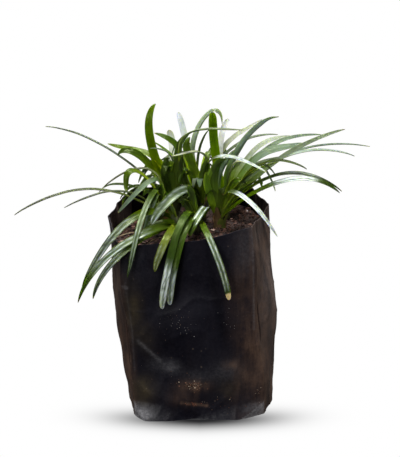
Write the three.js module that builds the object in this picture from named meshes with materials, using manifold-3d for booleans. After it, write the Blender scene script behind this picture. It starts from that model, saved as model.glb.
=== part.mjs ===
// Potted dwarf mondo grass: a clump of eight grass crowns growing in a soft black film nursery bag of soil.
// Millimetres, +Z up. The origin is on the floor under the middle of the bag's base, whose front faces -Y.
import * as THREE from 'three';
import { mergeVertices } from 'three/addons/utils/BufferGeometryUtils.js';
import Module from 'manifold-3d';

const wasm = await Module();
wasm.setup();

// Driving dimensions

const BAG_HEIGHT = 97.5;
const FILM = 0.8; // the bag's wall
const SEAT = 0.45; // clear gap where one piece sits in another
const BELLY = 1.9; // how far the soil pushes the bag out at half height
const HEEL = 1.2; // how far the bag's bottom edge is turned in
const HEEL_HEIGHT = 3.2;
const LEAN = -5.8; // how far the middle of the rim stands from the middle of the base, along X

// The bag's six creases, anticlockwise from above: where each stands on the floor and at the rim, how much the
// rim stands above the bag's height there, and how far the panel after it bulges, on the floor and above.
const CREASES = [
  { base: [-33.5, -29.5], rim: [-39, -32], lift: -4.5, bulge: [5, 3] }, // front left
  { base: [33, -28], rim: [25.5, -34], lift: 6, bulge: [0.8, 1.2] }, // front right
  { base: [37, -2], rim: [33.5, 4], lift: 3, bulge: [0.8, 1.2] }, // right gusset
  { base: [32, 29], rim: [23, 34], lift: 3, bulge: [4, 2.5] }, // back right
  { base: [-32, 29], rim: [-35, 32], lift: 0, bulge: [0.8, 1.2] }, // back left
  { base: [-36, 1], rim: [-45, -2], lift: -0.5, bulge: [0.8, 1.2] }, // left gusset
];
const PANEL_STEPS = [9, 3, 3, 9, 3, 3]; // faces across each panel
const BAG_LEVELS = [0, 0.02, 0.07, 0.2, 0.35, 0.5, 0.65, 0.8, 0.92, 1];

const SOIL_HEIGHT = 90.5; // in the middle of the bag
const SOIL_RINGS = 7;

// A crown is a collar of old leaf sheaths: its radius and height at each step, measured from the soil.
const CROWN_PROFILE = [[2.2, -11], [3.7, -5], [4.2, 0], [3.9, 2.6], [3.3, 4]];
const CROWN_SIDES = 8;
const CROWN_RIB = 0.06; // how far the sheaths stand out, as a share of the radius
const CUP_RADIUS = 2.95; // the hollow in the collar where the living leaves rise
const CUP_FLOOR = -2;
const HEART_PROFILE = [[2.45, -1.6], [2.5, 5], [2.1, 10]]; // the leaves' joined bases, in the hollow
const ROOT_HEIGHT = 4.8; // a blade starts this far above the soil
const ROOT_SPREAD = 1.1;
const GOLDEN_TURN = 2.4; // from one blade's root to the next, in radians

const BLADE_THICK = 0.7;
const BLADE_CHANNEL = 0.13; // depth of the channel along a blade, as a share of its width
const BLADE_STEP = 10.5; // about one cross-section every so far
const FEWEST_STEPS = 4;
const MOST_STEPS = 8;

// The clump was measured in one view: from the front, tilted down, from a fixed distance. A place in that view
// is [across, rise, depth]: across and rise lie in the view's plane, from the middle of the base, and depth is
// along +Y.
const VIEW_TILT = THREE.MathUtils.degToRad(22);
const VIEW_DISTANCE = 1000;
const VIEW_CENTRE = 82.75; // the rise at the middle of the view

const CROWNS = {
  west: [-18, 3],
  north_west: [-13, 16],
  south_west: [-12, -10],
  south: [-1, -7],
  centre: [0, 9],
  north: [-1, 24],
  east: [10, -3],
  north_east: [12, 12],
};

// For each crown, one row for each blade that shows from the front: its width, the places that it passes, the
// last one being its tip, and, where it doesn't simply face up along its run, the heading that it faces, or how
// far its face is tilted towards the front, both in degrees. A blunt blade has lost its tip.
const BLADES = {
  // reaching left
  west: [
    { width: 3.4, places: [[-48, 102, 0], [-73.8, 99, -5], [-93, 89.5, -8]] },
    { width: 3, places: [[-35, 100.8, -5], [-52, 99.9, -11], [-68, 93.3, -16]] },
    { width: 3, places: [[-22, 110, 6], [-36, 111.5, 8], [-51, 100.5, 8]] },
    { width: 4, places: [[-24, 104.5, 2], [-33, 111.5, -3], [-36.8, 107.5, -6], [-37, 101.5, -9]], tilt: 20 },
    { width: 2.8, places: [[-21, 107, 0], [-31, 101.5, -8], [-41, 90.5, -14]], tilt: 30 },
    { width: 4.2, places: [[-21.8, 100.3, -3], [-24.6, 92, -11], [-29, 80.3, -17]], tilt: 15 },
    { width: 2.8, places: [[-22.5, 101.5, -5], [-29.5, 87, -25], [-33.3, 72.5, -38.5], [-36.5, 58.2, -41]], tilt: 15 },
  ],
  // reaching left and back, and standing at the left
  north_west: [
    { width: 3.2, places: [[-31, 112, 20], [-54, 127, 26], [-77.3, 133.9, 34]] },
    { width: 3.6, places: [[-19.5, 114.8, 18], [-31.5, 121.8, 22], [-46.3, 125.2, 28]], tilt: 30 },
    { width: 4.2, places: [[-22, 110.5, 17], [-33, 120.8, 19], [-41, 119.3, 19]], tilt: 45 },
    { width: 4.6, places: [[-20, 111, 18], [-25.4, 131, 18], [-22.2, 145.2, 22]], face: 90 },
    { width: 3.6, places: [[-13.5, 119, 33], [-15.6, 132, 37]], face: 90, blunt: true },
    { width: 4, places: [[-17.5, 107, 12], [-16, 118.5, 10]], face: -90 },
    { width: 3, places: [[-23.5, 99.5, 13], [-36.5, 104.5, 13], [-48, 103.3, 16]] },
    { width: 4.2, places: [[-11, 112, 15], [-11.5, 123.5, 13], [-23, 130.5, 15]], tilt: 45 },
    { width: 3.4, places: [[-11.5, 113, 11], [-10.5, 124, 9], [-5, 130.5, 8]], face: -90 },
    { width: 2, places: [[-12.5, 113, 17], [-17, 121.5, 15], [-25, 122.8, 12]] },
  ],
  // drooping over the front left of the rim
  south_west: [
    { width: 3.8, places: [[-28, 90.5, -16], [-45, 77, -31], [-59, 53, -38]], tilt: 40 },
    { width: 3.6, places: [[-22.5, 82.5, -25], [-44, 70.5, -40], [-61, 45.5, -46]], tilt: 40 },
    { width: 3.4, places: [[-26.5, 79, -27], [-43, 66.5, -43], [-53.5, 47.3, -47]], tilt: 30 },
    { width: 4, places: [[-15.3, 80, -33], [-19.7, 71, -41], [-22.7, 61, -42]] },
    { width: 3.4, places: [[-17.5, 89.5, -13], [-25.5, 86.5, -15]], tilt: 25 },
    { width: 3.2, places: [[-17, 86, -18], [-27.5, 83, -21]], tilt: 25 },
  ],
  // drooping over the front of the rim
  south: [
    { width: 3.8, places: [[-8, 88, -29], [-15, 67, -45], [-19, 42.5, -48]] },
    { width: 4.5, places: [[-5.5, 86, -28], [-12, 68.5, -43], [-15, 44.5, -45]] },
    { width: 4.4, places: [[3, 93.5, -14], [-1.5, 87.5, -25], [-5.2, 78.8, -31]] },
    { width: 3.4, places: [[3, 81, -34], [9.7, 64.8, -44], [14.5, 47, -46]], blunt: true },
    { width: 3.6, places: [[-3.5, 97, -9], [-6, 104.5, -10]], face: -90 },
    { width: 3.4, places: [[-6, 93.5, -7], [-11, 100, -6]], face: -80 },
  ],
  // in the middle
  centre: [
    { width: 4.8, places: [[-6.5, 102.5, -4], [-18, 94.5, -17], [-24.2, 84.8, -24]], tilt: 40 },
    { width: 3.2, places: [[-3, 111, 12], [-2.8, 127.5, 15], [4.5, 140.5, 19], [11, 135, 23]], face: -60 },
    { width: 2.6, places: [[-1, 117, 14], [4.3, 132, 18]], face: -30 },
    { width: 2.8, places: [[3.5, 117, 6], [-4, 121, 0], [-14.5, 119, -4]] },
    { width: 3.2, places: [[3, 114.5, 4], [15.5, 118.6, -8], [33.5, 110.8, -22]], tilt: 20 },
    { width: 2.8, places: [[-9.5, 124.5, 4], [3, 132.5, -3], [21.5, 132.3, -8]] },
    { width: 2.8, places: [[-8.5, 111, 18], [-10.3, 119.5, 20]], face: 90 },
    { width: 4.4, places: [[-1.5, 108, 7], [-6, 120, 4], [-5, 128.5, 5]], face: -90 },
    { width: 3.8, places: [[1, 108, 4], [4.5, 117.5, 2]], face: -70 },
    { width: 2.6, places: [[-8.5, 108, 5], [-8.5, 119, 2]], face: -90 },
  ],
  // behind the middle
  north: [
    { width: 3.4, places: [[-8, 108, 26], [-12.5, 113.5, 25], [-15.8, 117.5, 24]], tilt: 15 },
    { width: 3.2, places: [[-6.5, 109, 28], [-13.5, 118.5, 30], [-23.3, 126.3, 31]] },
    { width: 3.2, places: [[-6, 122, 26], [-11, 140.8, 30]], face: 90, blunt: true },
    { width: 3.4, places: [[10, 119.5, 27], [17.5, 128.8, 30], [31, 137.5, 35]], tilt: 20 },
    { width: 2.8, places: [[15, 122, 30], [39, 129.8, 40]] },
  ],
  // reaching right, and standing right of the middle
  east: [
    { width: 4.2, places: [[7, 103, -5], [8, 113.5, -6], [13.5, 117.5, -8]], face: -90 },
    { width: 3.6, places: [[5, 99.5, -7], [3, 111, -9]], face: -70 },
    { width: 3.2, places: [[23, 112, 1], [36, 121, 3], [50, 124.5, 6]], tilt: 15 },
    { width: 3.6, places: [[28, 108, -3], [49, 123, -3], [72.5, 132.5, -2]], tilt: 20 },
    { width: 2.8, places: [[25, 111, -8], [40, 116.8, -12], [53.5, 112.5, -16]] },
    { width: 2.4, places: [[22.5, 109.5, -6], [31, 115, -8], [38, 109.3, -10]] },
    { width: 3.6, places: [[25, 103, -10], [46, 110.3, -15], [71, 101.3, -19]], tilt: 10 },
    { width: 4, places: [[24, 98.5, -16], [46.5, 107.3, -23], [70, 100.5, -28]], tilt: 20 },
    { width: 3.4, places: [[14.5, 101, -13], [26, 95, -28], [38.8, 78.5, -36]], tilt: 30 },
    { width: 3.2, places: [[20, 106, -3], [39, 116, -7]] },
    { width: 3, places: [[19, 100.5, -13], [31, 107.5, -20]] },
    { width: 3.2, places: [[3.5, 103, -5], [3.8, 108.5, -6], [6, 113.5, -5]], face: -100 },
    { width: 3.8, places: [[9, 105, -4], [11.5, 114, -2], [17, 122, 2]], face: -60 },
  ],
  // reaching right and back, and standing right of the middle
  north_east: [
    { width: 4.4, places: [[7.5, 122, 9], [6.3, 141, 8]], face: 90, blunt: true },
    { width: 3, places: [[10, 122, 21], [14.3, 137.5, 26]], face: 90, blunt: true },
    { width: 4.6, places: [[15.5, 114, 14], [26, 131, 18], [39.5, 138.8, 24]], face: -55 },
    { width: 3.2, places: [[20, 111.5, 19], [31, 124.8, 27], [49, 128.4, 36]], tilt: 20 },
    { width: 3.2, places: [[23.5, 112, 16], [38.5, 125.5, 22], [61.5, 129.5, 30]], tilt: 20 },
    { width: 3.6, places: [[24, 114.5, 10], [36.5, 122.8, 13], [51.5, 125.5, 18]], tilt: 15 },
    { width: 2.8, places: [[29, 111, 14], [52.5, 122.9, 22], [85, 124, 32]] },
    { width: 3.2, places: [[27, 109.5, 8], [50, 120.8, 14], [77.5, 119, 20]] },
    { width: 3.4, places: [[21.5, 110, 20], [41.5, 118.5, 30]], tilt: 20 },
    { width: 3.2, places: [[19, 104, 24], [36, 114, 36]], tilt: 15 },
    { width: 3.2, places: [[14.5, 109.5, 14], [18, 116, 12], [22.5, 115.5, 10]] },
  ],
};

// The blades behind and between those follow a rule: from each crown, a number of blades drawn within ranges of
// heading in degrees, reach along the ground, height over the crown, and how far the tip hangs below that.
const SEED_STEP = 7919;
const FILL_TRIES = 40;
const FILL_CLEARANCE = 3.6; // from any blade of another crown
const FILL_WIDTH = [2.8, 4];
const FILL_TILT = [-25, 25];
const FILLS = [
  { crown: 'north', seed: 41, count: 8, heading: [48, 135], reach: [34, 58], height: [10, 19], hang: [8, 34] },
  { crown: 'north_west', seed: 12, count: 5, heading: [108, 160], reach: [30, 48], height: [8, 14], hang: [10, 26] },
  { crown: 'north_east', seed: 50, count: 5, heading: [35, 72], reach: [34, 52], height: [9, 15], hang: [10, 26] },
  { crown: 'west', seed: 12, count: 2, heading: [150, 185], reach: [20, 34], height: [9, 14], hang: [2, 12] },
  { crown: 'centre', seed: 20, count: 4, heading: [60, 300], reach: [6, 15], height: [12, 25], hang: [0, 3] },
  { crown: 'north', seed: 26, count: 4, heading: [0, 360], reach: [5, 14], height: [16, 26], hang: [0, 3] },
  { crown: 'north_west', seed: 73, count: 3, heading: [170, 360], reach: [6, 14], height: [12, 24], hang: [0, 3] },
  { crown: 'centre', seed: 43, count: 2, heading: [140, 215], reach: [12, 22], height: [16, 27], hang: [0, 6] },
  { crown: 'west', seed: 28, count: 3, heading: [150, 300], reach: [6, 14], height: [8, 14], hang: [0, 3] },
  { crown: 'south', seed: 49, count: 6, heading: [60, 200], reach: [3, 10], height: [7, 16], hang: [0, 3] },
  { crown: 'east', seed: 15, count: 4, heading: [180, 420], reach: [6, 16], height: [10, 18], hang: [0, 4] },
  { crown: 'south_west', seed: 73, count: 4, heading: [90, 220], reach: [7, 15], height: [5, 11], hang: [0, 5] },
  { crown: 'centre', seed: 25, count: 5, heading: [200, 340], reach: [4, 11], height: [7, 14], hang: [0, 3] },
];

// Solids

// A closed skin over rings of points that all turn anticlockwise as seen from where the rings are heading.
// Each four-sided face is split along its shorter diagonal.
function skin(rings, firstPoint, lastPoint) {
  const around = rings[0].length;
  const points = [firstPoint, ...rings.flat(), lastPoint];
  const last = points.length - 1;
  const at = (ring, i) => 1 + ring * around + (i % around);
  const faces = [];
  for (let i = 0; i < around; i += 1) {
    faces.push(0, at(0, i + 1), at(0, i));
    for (let ring = 0; ring + 1 < rings.length; ring += 1) {
      const [a, b, c, d] = [at(ring, i), at(ring, i + 1), at(ring + 1, i + 1), at(ring + 1, i)];
      const shorter = points[a].distanceTo(points[c]) < points[b].distanceTo(points[d]);
      faces.push(...(shorter ? [a, b, c, a, c, d] : [a, b, d, b, c, d]));
    }
    faces.push(last, at(rings.length - 1, i), at(rings.length - 1, i + 1));
  }
  return new THREE.BufferGeometry().setFromPoints(points).setIndex(faces);
}

function toSolid(geometry) {
  const bare = geometry.clone();
  bare.deleteAttribute('normal');
  bare.deleteAttribute('uv');
  const merged = mergeVertices(bare, 1e-4);
  return new wasm.Manifold(
    new wasm.Mesh({
      numProp: 3,
      vertProperties: new Float32Array(merged.attributes.position.array),
      triVerts: new Uint32Array(merged.index.array),
    }),
  );
}

function toGeometry(solid) {
  const mesh = solid.getMesh();
  const geometry = new THREE.BufferGeometry();
  geometry.setAttribute('position', new THREE.BufferAttribute(mesh.vertProperties, 3));
  geometry.setIndex(new THREE.BufferAttribute(mesh.triVerts, 1));
  return geometry;
}

// Fills the pockets that joined blades seal between them.
function fillPockets(solid) {
  return solid.decompose().find((body) => body.volume() > 0);
}

const mix = (from, to, share) => from + (to - from) * share;
const bell = (x, width) => Math.exp(-(x * x) / (width * width));

// Bag

// The bag's wall at a place round it, where 0 to 6 counts the creases, and at a height, moved in by an inset.
function bagWall(place, z, inset) {
  const panel = Math.floor(place) % CREASES.length;
  const along = place - Math.floor(place);
  const share = THREE.MathUtils.clamp(z / BAG_HEIGHT, 0, 1);
  const corner = (i) => {
    const { base, rim } = CREASES[i % CREASES.length];
    return new THREE.Vector2(mix(base[0], rim[0], share), mix(base[1], rim[1], share));
  };
  const from = corner(panel);
  const to = corner(panel + 1);
  const outward = new THREE.Vector2(to.y - from.y, from.x - to.x).normalize();
  const swell = mix(...CREASES[panel].bulge, Math.min(share * 2.5, 1)) * 4 * along * (1 - along);
  const point = from.lerp(to, along).addScaledVector(outward, swell + crumple(place, z));
  const middle = new THREE.Vector2(LEAN * share, 0);
  const radius = point.distanceTo(middle);
  const belly = BELLY * Math.sin(Math.PI * share) ** 1.5;
  const heel = HEEL * bell(z, HEEL_HEIGHT);
  return point.sub(middle).multiplyScalar((radius + belly - heel - inset) / radius).add(middle);
}

// The dents that soil and handling leave in the film.
function crumple(place, z) {
  return 0.35 * Math.sin(place * 5.2 + z * 0.11) + 0.3 * Math.sin(place * 8.4 - z * 0.17 + 1);
}

function rimLift(place) {
  const panel = Math.floor(place) % CREASES.length;
  const along = place - Math.floor(place);
  const next = CREASES[(panel + 1) % CREASES.length];
  return mix(CREASES[panel].lift, next.lift, along ** 2) + 0.4 * Math.sin(place * 7);
}

const bagPlaces = PANEL_STEPS.flatMap((steps, panel) =>
  Array.from({ length: steps }, (_, i) => panel + i / steps),
);

function bagRing(level, inset, floor) {
  return bagPlaces.map((place) => {
    const z = mix(floor, BAG_HEIGHT, level) + rimLift(place) * level ** 6;
    const wall = bagWall(place, z, inset);
    return new THREE.Vector3(wall.x, wall.y, z);
  });
}

function makeBag() {
  const outside = BAG_LEVELS.map((level) => bagRing(level, 0, 0));
  const inside = [...BAG_LEVELS].reverse().map((level) => bagRing(level, FILM, FILM));
  return skin([...outside, ...inside], new THREE.Vector3(0, 0, 0), new THREE.Vector3(0, 0, FILM));
}

// Soil

// The soil's surface: higher along the front, lower at the back left, and lumpy.
function soilTop(x, y) {
  const slope = -0.075 * y + 0.03 * x;
  const lumps = 0.5 * Math.sin(x * 0.42 + y * 0.19) + 0.45 * Math.sin(y * 0.5 - x * 0.23 + 2);
  return SOIL_HEIGHT + slope + lumps;
}

function makeSoil() {
  const inset = FILM + SEAT;
  const edgeTop = (place) => {
    const edge = bagWall(place, SOIL_HEIGHT, inset);
    return soilTop(edge.x, edge.y);
  };
  const sides = BAG_LEVELS.filter((level) => level < 0.85).map((level) => bagRing(level, inset, inset));
  const edge = bagPlaces.map((place) => {
    const wall = bagWall(place, edgeTop(place), inset);
    return new THREE.Vector3(wall.x, wall.y, edgeTop(place));
  });
  const middle = new THREE.Vector2(-4, 0);
  const surface = Array.from({ length: SOIL_RINGS - 1 }, (_, ring) =>
    edge.map((point) => {
      const share = 1 - (ring + 1) / SOIL_RINGS;
      const x = mix(middle.x, point.x, share);
      const y = mix(middle.y, point.y, share);
      return new THREE.Vector3(x, y, soilTop(x, y));
    }),
  );
  const bottom = new THREE.Vector3(0, 0, inset);
  const top = new THREE.Vector3(middle.x, middle.y, soilTop(middle.x, middle.y));
  return skin([...sides, edge, ...surface], bottom, top);
}

// Crowns

// A ring of a turned shape, with a rib on every other side.
function turnedRing([radius, height], sides, rib) {
  return Array.from({ length: sides }, (_, i) => {
    const angle = (i / sides) * 2 * Math.PI;
    const reach = radius * (1 + (i % 2 ? rib : -rib));
    return new THREE.Vector3(reach * Math.cos(angle), reach * Math.sin(angle), height);
  });
}

function makeCrown() {
  const rings = CROWN_PROFILE.map((step) => turnedRing(step, CROWN_SIDES, CROWN_RIB));
  const lip = turnedRing([CUP_RADIUS, CROWN_PROFILE.at(-1)[1]], CROWN_SIDES, 0);
  const cup = turnedRing([CUP_RADIUS, CUP_FLOOR], CROWN_SIDES, 0);
  const tip = new THREE.Vector3(0, 0, CROWN_PROFILE[0][1]);
  return skin([...rings, lip, cup], tip, new THREE.Vector3(0, 0, CUP_FLOOR));
}

// The plain hole in the soil that a crown stands in.
function makeCrownHole() {
  const room = 1 + CROWN_RIB + 0.04;
  const steps = CROWN_PROFILE.slice(0, 3).map(([radius, height]) => [radius * room + SEAT, height - SEAT]);
  const mouth = [steps.at(-1)[0], CROWN_PROFILE.at(-1)[1]];
  const rings = [...steps, mouth].map((step) => turnedRing(step, CROWN_SIDES, 0));
  const bottom = new THREE.Vector3(0, 0, steps[0][1]);
  return skin(rings, bottom, new THREE.Vector3(0, 0, mouth[1]));
}

function makeHeart() {
  const rings = HEART_PROFILE.map((step) => turnedRing(step, 8, 0));
  const bottom = new THREE.Vector3(0, 0, HEART_PROFILE[0][1]);
  const top = new THREE.Vector3(0, 0, HEART_PROFILE.at(-1)[1] + 0.6);
  return skin(rings, bottom, top);
}

// Blades

// The point of space at a place in the measuring view.
function fromView([across, rise, depth]) {
  const sin = Math.sin(VIEW_TILT);
  const cos = Math.cos(VIEW_TILT);
  const up = rise - VIEW_CENTRE;
  const eyeY = -VIEW_DISTANCE * cos;
  const eyeZ = VIEW_CENTRE / cos + VIEW_DISTANCE * sin;
  const reach = (depth - eyeY) / (up * sin + VIEW_DISTANCE * cos);
  return new THREE.Vector3(across * reach, depth, eyeZ + reach * (up * cos - VIEW_DISTANCE * sin));
}

function crownPoint(crown, height) {
  const [x, y] = CROWNS[crown];
  return new THREE.Vector3(x, y, soilTop(x, y) + height);
}

// Where the number-th blade of a crown starts, so that no two start in one place.
function rootPoint(crown, number) {
  const angle = number * GOLDEN_TURN;
  const out = ROOT_SPREAD * Math.sqrt(((number * 0.37) % 1) + 0.05);
  const shift = new THREE.Vector3(out * Math.cos(angle), out * Math.sin(angle), 0);
  return crownPoint(crown, ROOT_HEIGHT).add(shift);
}

// The smooth curve that passes the points at equal steps of t.
function curvePoint(points, t) {
  const degree = points.length - 1;
  const point = new THREE.Vector3();
  points.forEach((knot, i) => {
    let weight = 1;
    for (let j = 0; j <= degree; j += 1) {
      if (j !== i) weight *= (t * degree - j) / (i - j);
    }
    point.addScaledVector(knot, weight);
  });
  return point;
}

function bladeWidth(width, blunt, t) {
  const base = mix(0.62, 1, THREE.MathUtils.smoothstep(t, 0, 0.3));
  const tip = blunt ? (1 - t ** 14) ** 0.4 : (1 - t ** 5) ** 0.6;
  return width * base * tip;
}

// The middle, side and upper directions of a blade at t.
function bladeFrame(blade, t) {
  const step = 0.01;
  const middle = curvePoint(blade.points, t);
  const ahead = curvePoint(blade.points, Math.min(t + step, 1));
  const along = ahead.sub(curvePoint(blade.points, Math.max(t - step, 0))).normalize();
  const run = new THREE.Vector3().subVectors(blade.points.at(-1), blade.points[0]);
  const heading = blade.face === undefined ? Math.atan2(run.y, run.x) : THREE.MathUtils.degToRad(blade.face);
  const side = new THREE.Vector3(-Math.sin(heading), Math.cos(heading), 0);
  side.addScaledVector(along, -side.dot(along)).normalize();
  side.applyAxisAngle(along, THREE.MathUtils.degToRad(blade.tilt ?? 0) * Math.sign(run.x));
  return { middle, side, upper: new THREE.Vector3().crossVectors(along, side) };
}

function makeBlade(blade) {
  const length = bladeLength(blade);
  const steps = THREE.MathUtils.clamp(Math.round(length / BLADE_STEP), FEWEST_STEPS, MOST_STEPS);
  const rings = Array.from({ length: steps }, (_, i) => {
    const t = (i / (steps - 0.45)) ** 0.9;
    const { middle, side, upper } = bladeFrame(blade, t);
    const half = bladeWidth(blade.width, blade.blunt, t) / 2;
    const edge = middle.clone().addScaledVector(upper, blade.width * BLADE_CHANNEL);
    return [
      edge.clone().addScaledVector(side, half),
      middle,
      edge.clone().addScaledVector(side, -half),
      middle.clone().addScaledVector(upper, -BLADE_THICK),
    ];
  });
  return skin(rings, curvePoint(blade.points, -0.01), curvePoint(blade.points, 1));
}

function bladeLength(blade) {
  let length = 0;
  for (let i = 1; i <= 12; i += 1) {
    length += curvePoint(blade.points, i / 12).distanceTo(curvePoint(blade.points, (i - 1) / 12));
  }
  return length;
}

function seededRandom(seed) {
  let state = seed;
  return (from, to) => {
    state = (state * 48271) % 2147483647;
    return mix(from, to, state / 2147483647);
  };
}

// True if a blade keeps clear of the blades of all other crowns.
function isClear(blade, others) {
  const samples = (one) => Array.from({ length: 25 }, (_, i) => curvePoint(one.points, i / 24));
  const mine = samples(blade);
  return others
    .filter((other) => other.crown !== blade.crown)
    .every((other) => samples(other).every((p) => mine.every((q) => p.distanceTo(q) > FILL_CLEARANCE)));
}

function drawFill(fill, random) {
  const heading = THREE.MathUtils.degToRad(random(...fill.heading));
  const reach = random(...fill.reach);
  const height = random(...fill.height);
  const hang = random(...fill.hang);
  const width = random(...FILL_WIDTH);
  const tilt = random(...FILL_TILT);
  const crown = crownPoint(fill.crown, HEART_PROFILE.at(-1)[1]);
  const outward = new THREE.Vector3(Math.cos(heading), Math.sin(heading), 0);
  const place = (share, up) =>
    crown.clone().addScaledVector(outward, reach * share).add(new THREE.Vector3(0, 0, up));
  return { crown: fill.crown, width, tilt, goals: [place(0.5, height), place(1, height - hang)] };
}

function layOutBlades() {
  const counts = {};
  const rooted = (blade, goals) => {
    const number = counts[blade.crown] ?? 0;
    return { ...blade, points: [rootPoint(blade.crown, number), ...goals] };
  };
  const placed = [];
  const place = (blade) => {
    counts[blade.crown] = (counts[blade.crown] ?? 0) + 1;
    placed.push(blade);
  };
  Object.entries(BLADES).forEach(([crown, rows]) => {
    rows.forEach((row) => place(rooted({ ...row, crown }, row.places.map(fromView))));
  });
  FILLS.forEach((fill) => {
    const random = seededRandom(fill.seed * SEED_STEP);
    for (let i = 0; i < fill.count; i += 1) {
      for (let tries = 0; tries < FILL_TRIES; tries += 1) {
        const drawn = drawFill(fill, random);
        const blade = rooted(drawn, drawn.goals);
        if (isClear(blade, placed)) {
          place(blade);
          break;
        }
      }
    }
  });
  return placed;
}

// Materials

const filmBlack = new THREE.MeshStandardMaterial({ color: 0x17171a, roughness: 0.45, metalness: 0 });
const soilBrown = new THREE.MeshStandardMaterial({ color: 0x3d2a22, roughness: 0.95, metalness: 0 });
const sheathBrown = new THREE.MeshStandardMaterial({ color: 0x8a6238, roughness: 0.8, metalness: 0 });
const leafGreen = new THREE.MeshStandardMaterial({ color: 0x3f6a1c, roughness: 0.35, metalness: 0 });

// Assembly

const plant = new THREE.Group();

function addMesh(name, geometry, material, position) {
  const mesh = new THREE.Mesh(geometry, material);
  mesh.name = name;
  if (position) mesh.position.copy(position);
  plant.add(mesh);
}

addMesh('bag', makeBag(), filmBlack);

let soil = toSolid(makeSoil());
Object.keys(CROWNS).forEach((crown) => {
  const at = crownPoint(crown, 0);
  soil = soil.subtract(toSolid(makeCrownHole().translate(at.x, at.y, at.z)));
});
addMesh('soil', toGeometry(soil), soilBrown);

const blades = layOutBlades();
Object.keys(CROWNS).forEach((crown) => {
  const at = crownPoint(crown, 0);
  addMesh(`crown_${crown}`, makeCrown(), sheathBrown, at);
  const heart = toSolid(makeHeart().translate(at.x, at.y, at.z));
  const leaves = blades
    .filter((blade) => blade.crown === crown)
    .reduce((joined, blade) => joined.add(toSolid(makeBlade(blade))), heart);
  addMesh(`leaves_${crown}`, toGeometry(fillPockets(leaves)), leafGreen);
});

export default plant;
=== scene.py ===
# Looks of the potted dwarf mondo grass: the film bag, the soil and its litter, the crowns and the leaves.
# Lengths are in millimetres up to the moment when a piece is made, which turns them into metres.
import math
import random

import bpy
from mathutils import Matrix, Vector, noise


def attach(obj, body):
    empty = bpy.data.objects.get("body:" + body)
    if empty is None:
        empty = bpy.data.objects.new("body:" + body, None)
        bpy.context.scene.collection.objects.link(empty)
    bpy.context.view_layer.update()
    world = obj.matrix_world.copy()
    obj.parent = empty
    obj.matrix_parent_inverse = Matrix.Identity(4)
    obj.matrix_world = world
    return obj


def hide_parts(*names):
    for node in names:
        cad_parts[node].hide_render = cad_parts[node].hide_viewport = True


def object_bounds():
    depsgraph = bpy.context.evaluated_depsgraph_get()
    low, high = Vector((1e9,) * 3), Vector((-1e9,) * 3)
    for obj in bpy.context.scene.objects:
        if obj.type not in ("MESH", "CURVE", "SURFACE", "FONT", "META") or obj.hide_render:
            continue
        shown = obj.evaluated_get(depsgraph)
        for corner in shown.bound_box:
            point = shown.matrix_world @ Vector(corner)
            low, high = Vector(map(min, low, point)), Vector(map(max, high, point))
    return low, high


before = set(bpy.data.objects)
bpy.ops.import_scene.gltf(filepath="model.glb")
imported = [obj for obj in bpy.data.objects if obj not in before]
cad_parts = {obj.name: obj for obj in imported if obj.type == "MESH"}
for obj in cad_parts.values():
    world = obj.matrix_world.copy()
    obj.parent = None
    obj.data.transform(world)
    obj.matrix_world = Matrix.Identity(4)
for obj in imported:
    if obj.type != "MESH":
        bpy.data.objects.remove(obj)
cad_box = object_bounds()

MM = 0.001

# Driving dimensions, as in the part's own source

BAG_HEIGHT = 97.5
FILM = 0.8
SEAT = 0.45
BELLY = 1.9
HEEL = 1.2
HEEL_HEIGHT = 3.2
LEAN = -5.8

# The bag's six creases, anticlockwise from above: front left, front right, right gusset, back right, back
# left and left gusset.
CREASES = [
    {"base": (-33.5, -29.5), "rim": (-39, -32), "lift": -4.5, "bulge": (5, 3)},
    {"base": (33, -28), "rim": (25.5, -34), "lift": 6, "bulge": (0.8, 1.2)},
    {"base": (37, -2), "rim": (33.5, 4), "lift": 3, "bulge": (0.8, 1.2)},
    {"base": (32, 29), "rim": (23, 34), "lift": 3, "bulge": (4, 2.5)},
    {"base": (-32, 29), "rim": (-35, 32), "lift": 0, "bulge": (0.8, 1.2)},
    {"base": (-36, 1), "rim": (-45, -2), "lift": -0.5, "bulge": (0.8, 1.2)},
]

SOIL_HEIGHT = 90.5
HEART_HEIGHT = 10
ROOT_HEIGHT = 4.8
ROOT_SPREAD = 1.1
GOLDEN_TURN = 2.4

# The view in which the clump was measured, and in which the camera stands
VIEW_TILT = math.radians(22)
VIEW_DISTANCE = 1000
VIEW_CENTRE = 82.75
VIEW_TALL = 228.5  # the height that the picture takes in at the bag
EYE_HEIGHT = VIEW_CENTRE / math.cos(VIEW_TILT) + VIEW_DISTANCE * math.sin(VIEW_TILT)

CROWNS = {
    "west": (-18, 3),
    "north_west": (-13, 16),
    "south_west": (-12, -10),
    "south": (-1, -7),
    "centre": (0, 9),
    "north": (-1, 24),
    "east": (10, -3),
    "north_east": (12, 12),
}

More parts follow.
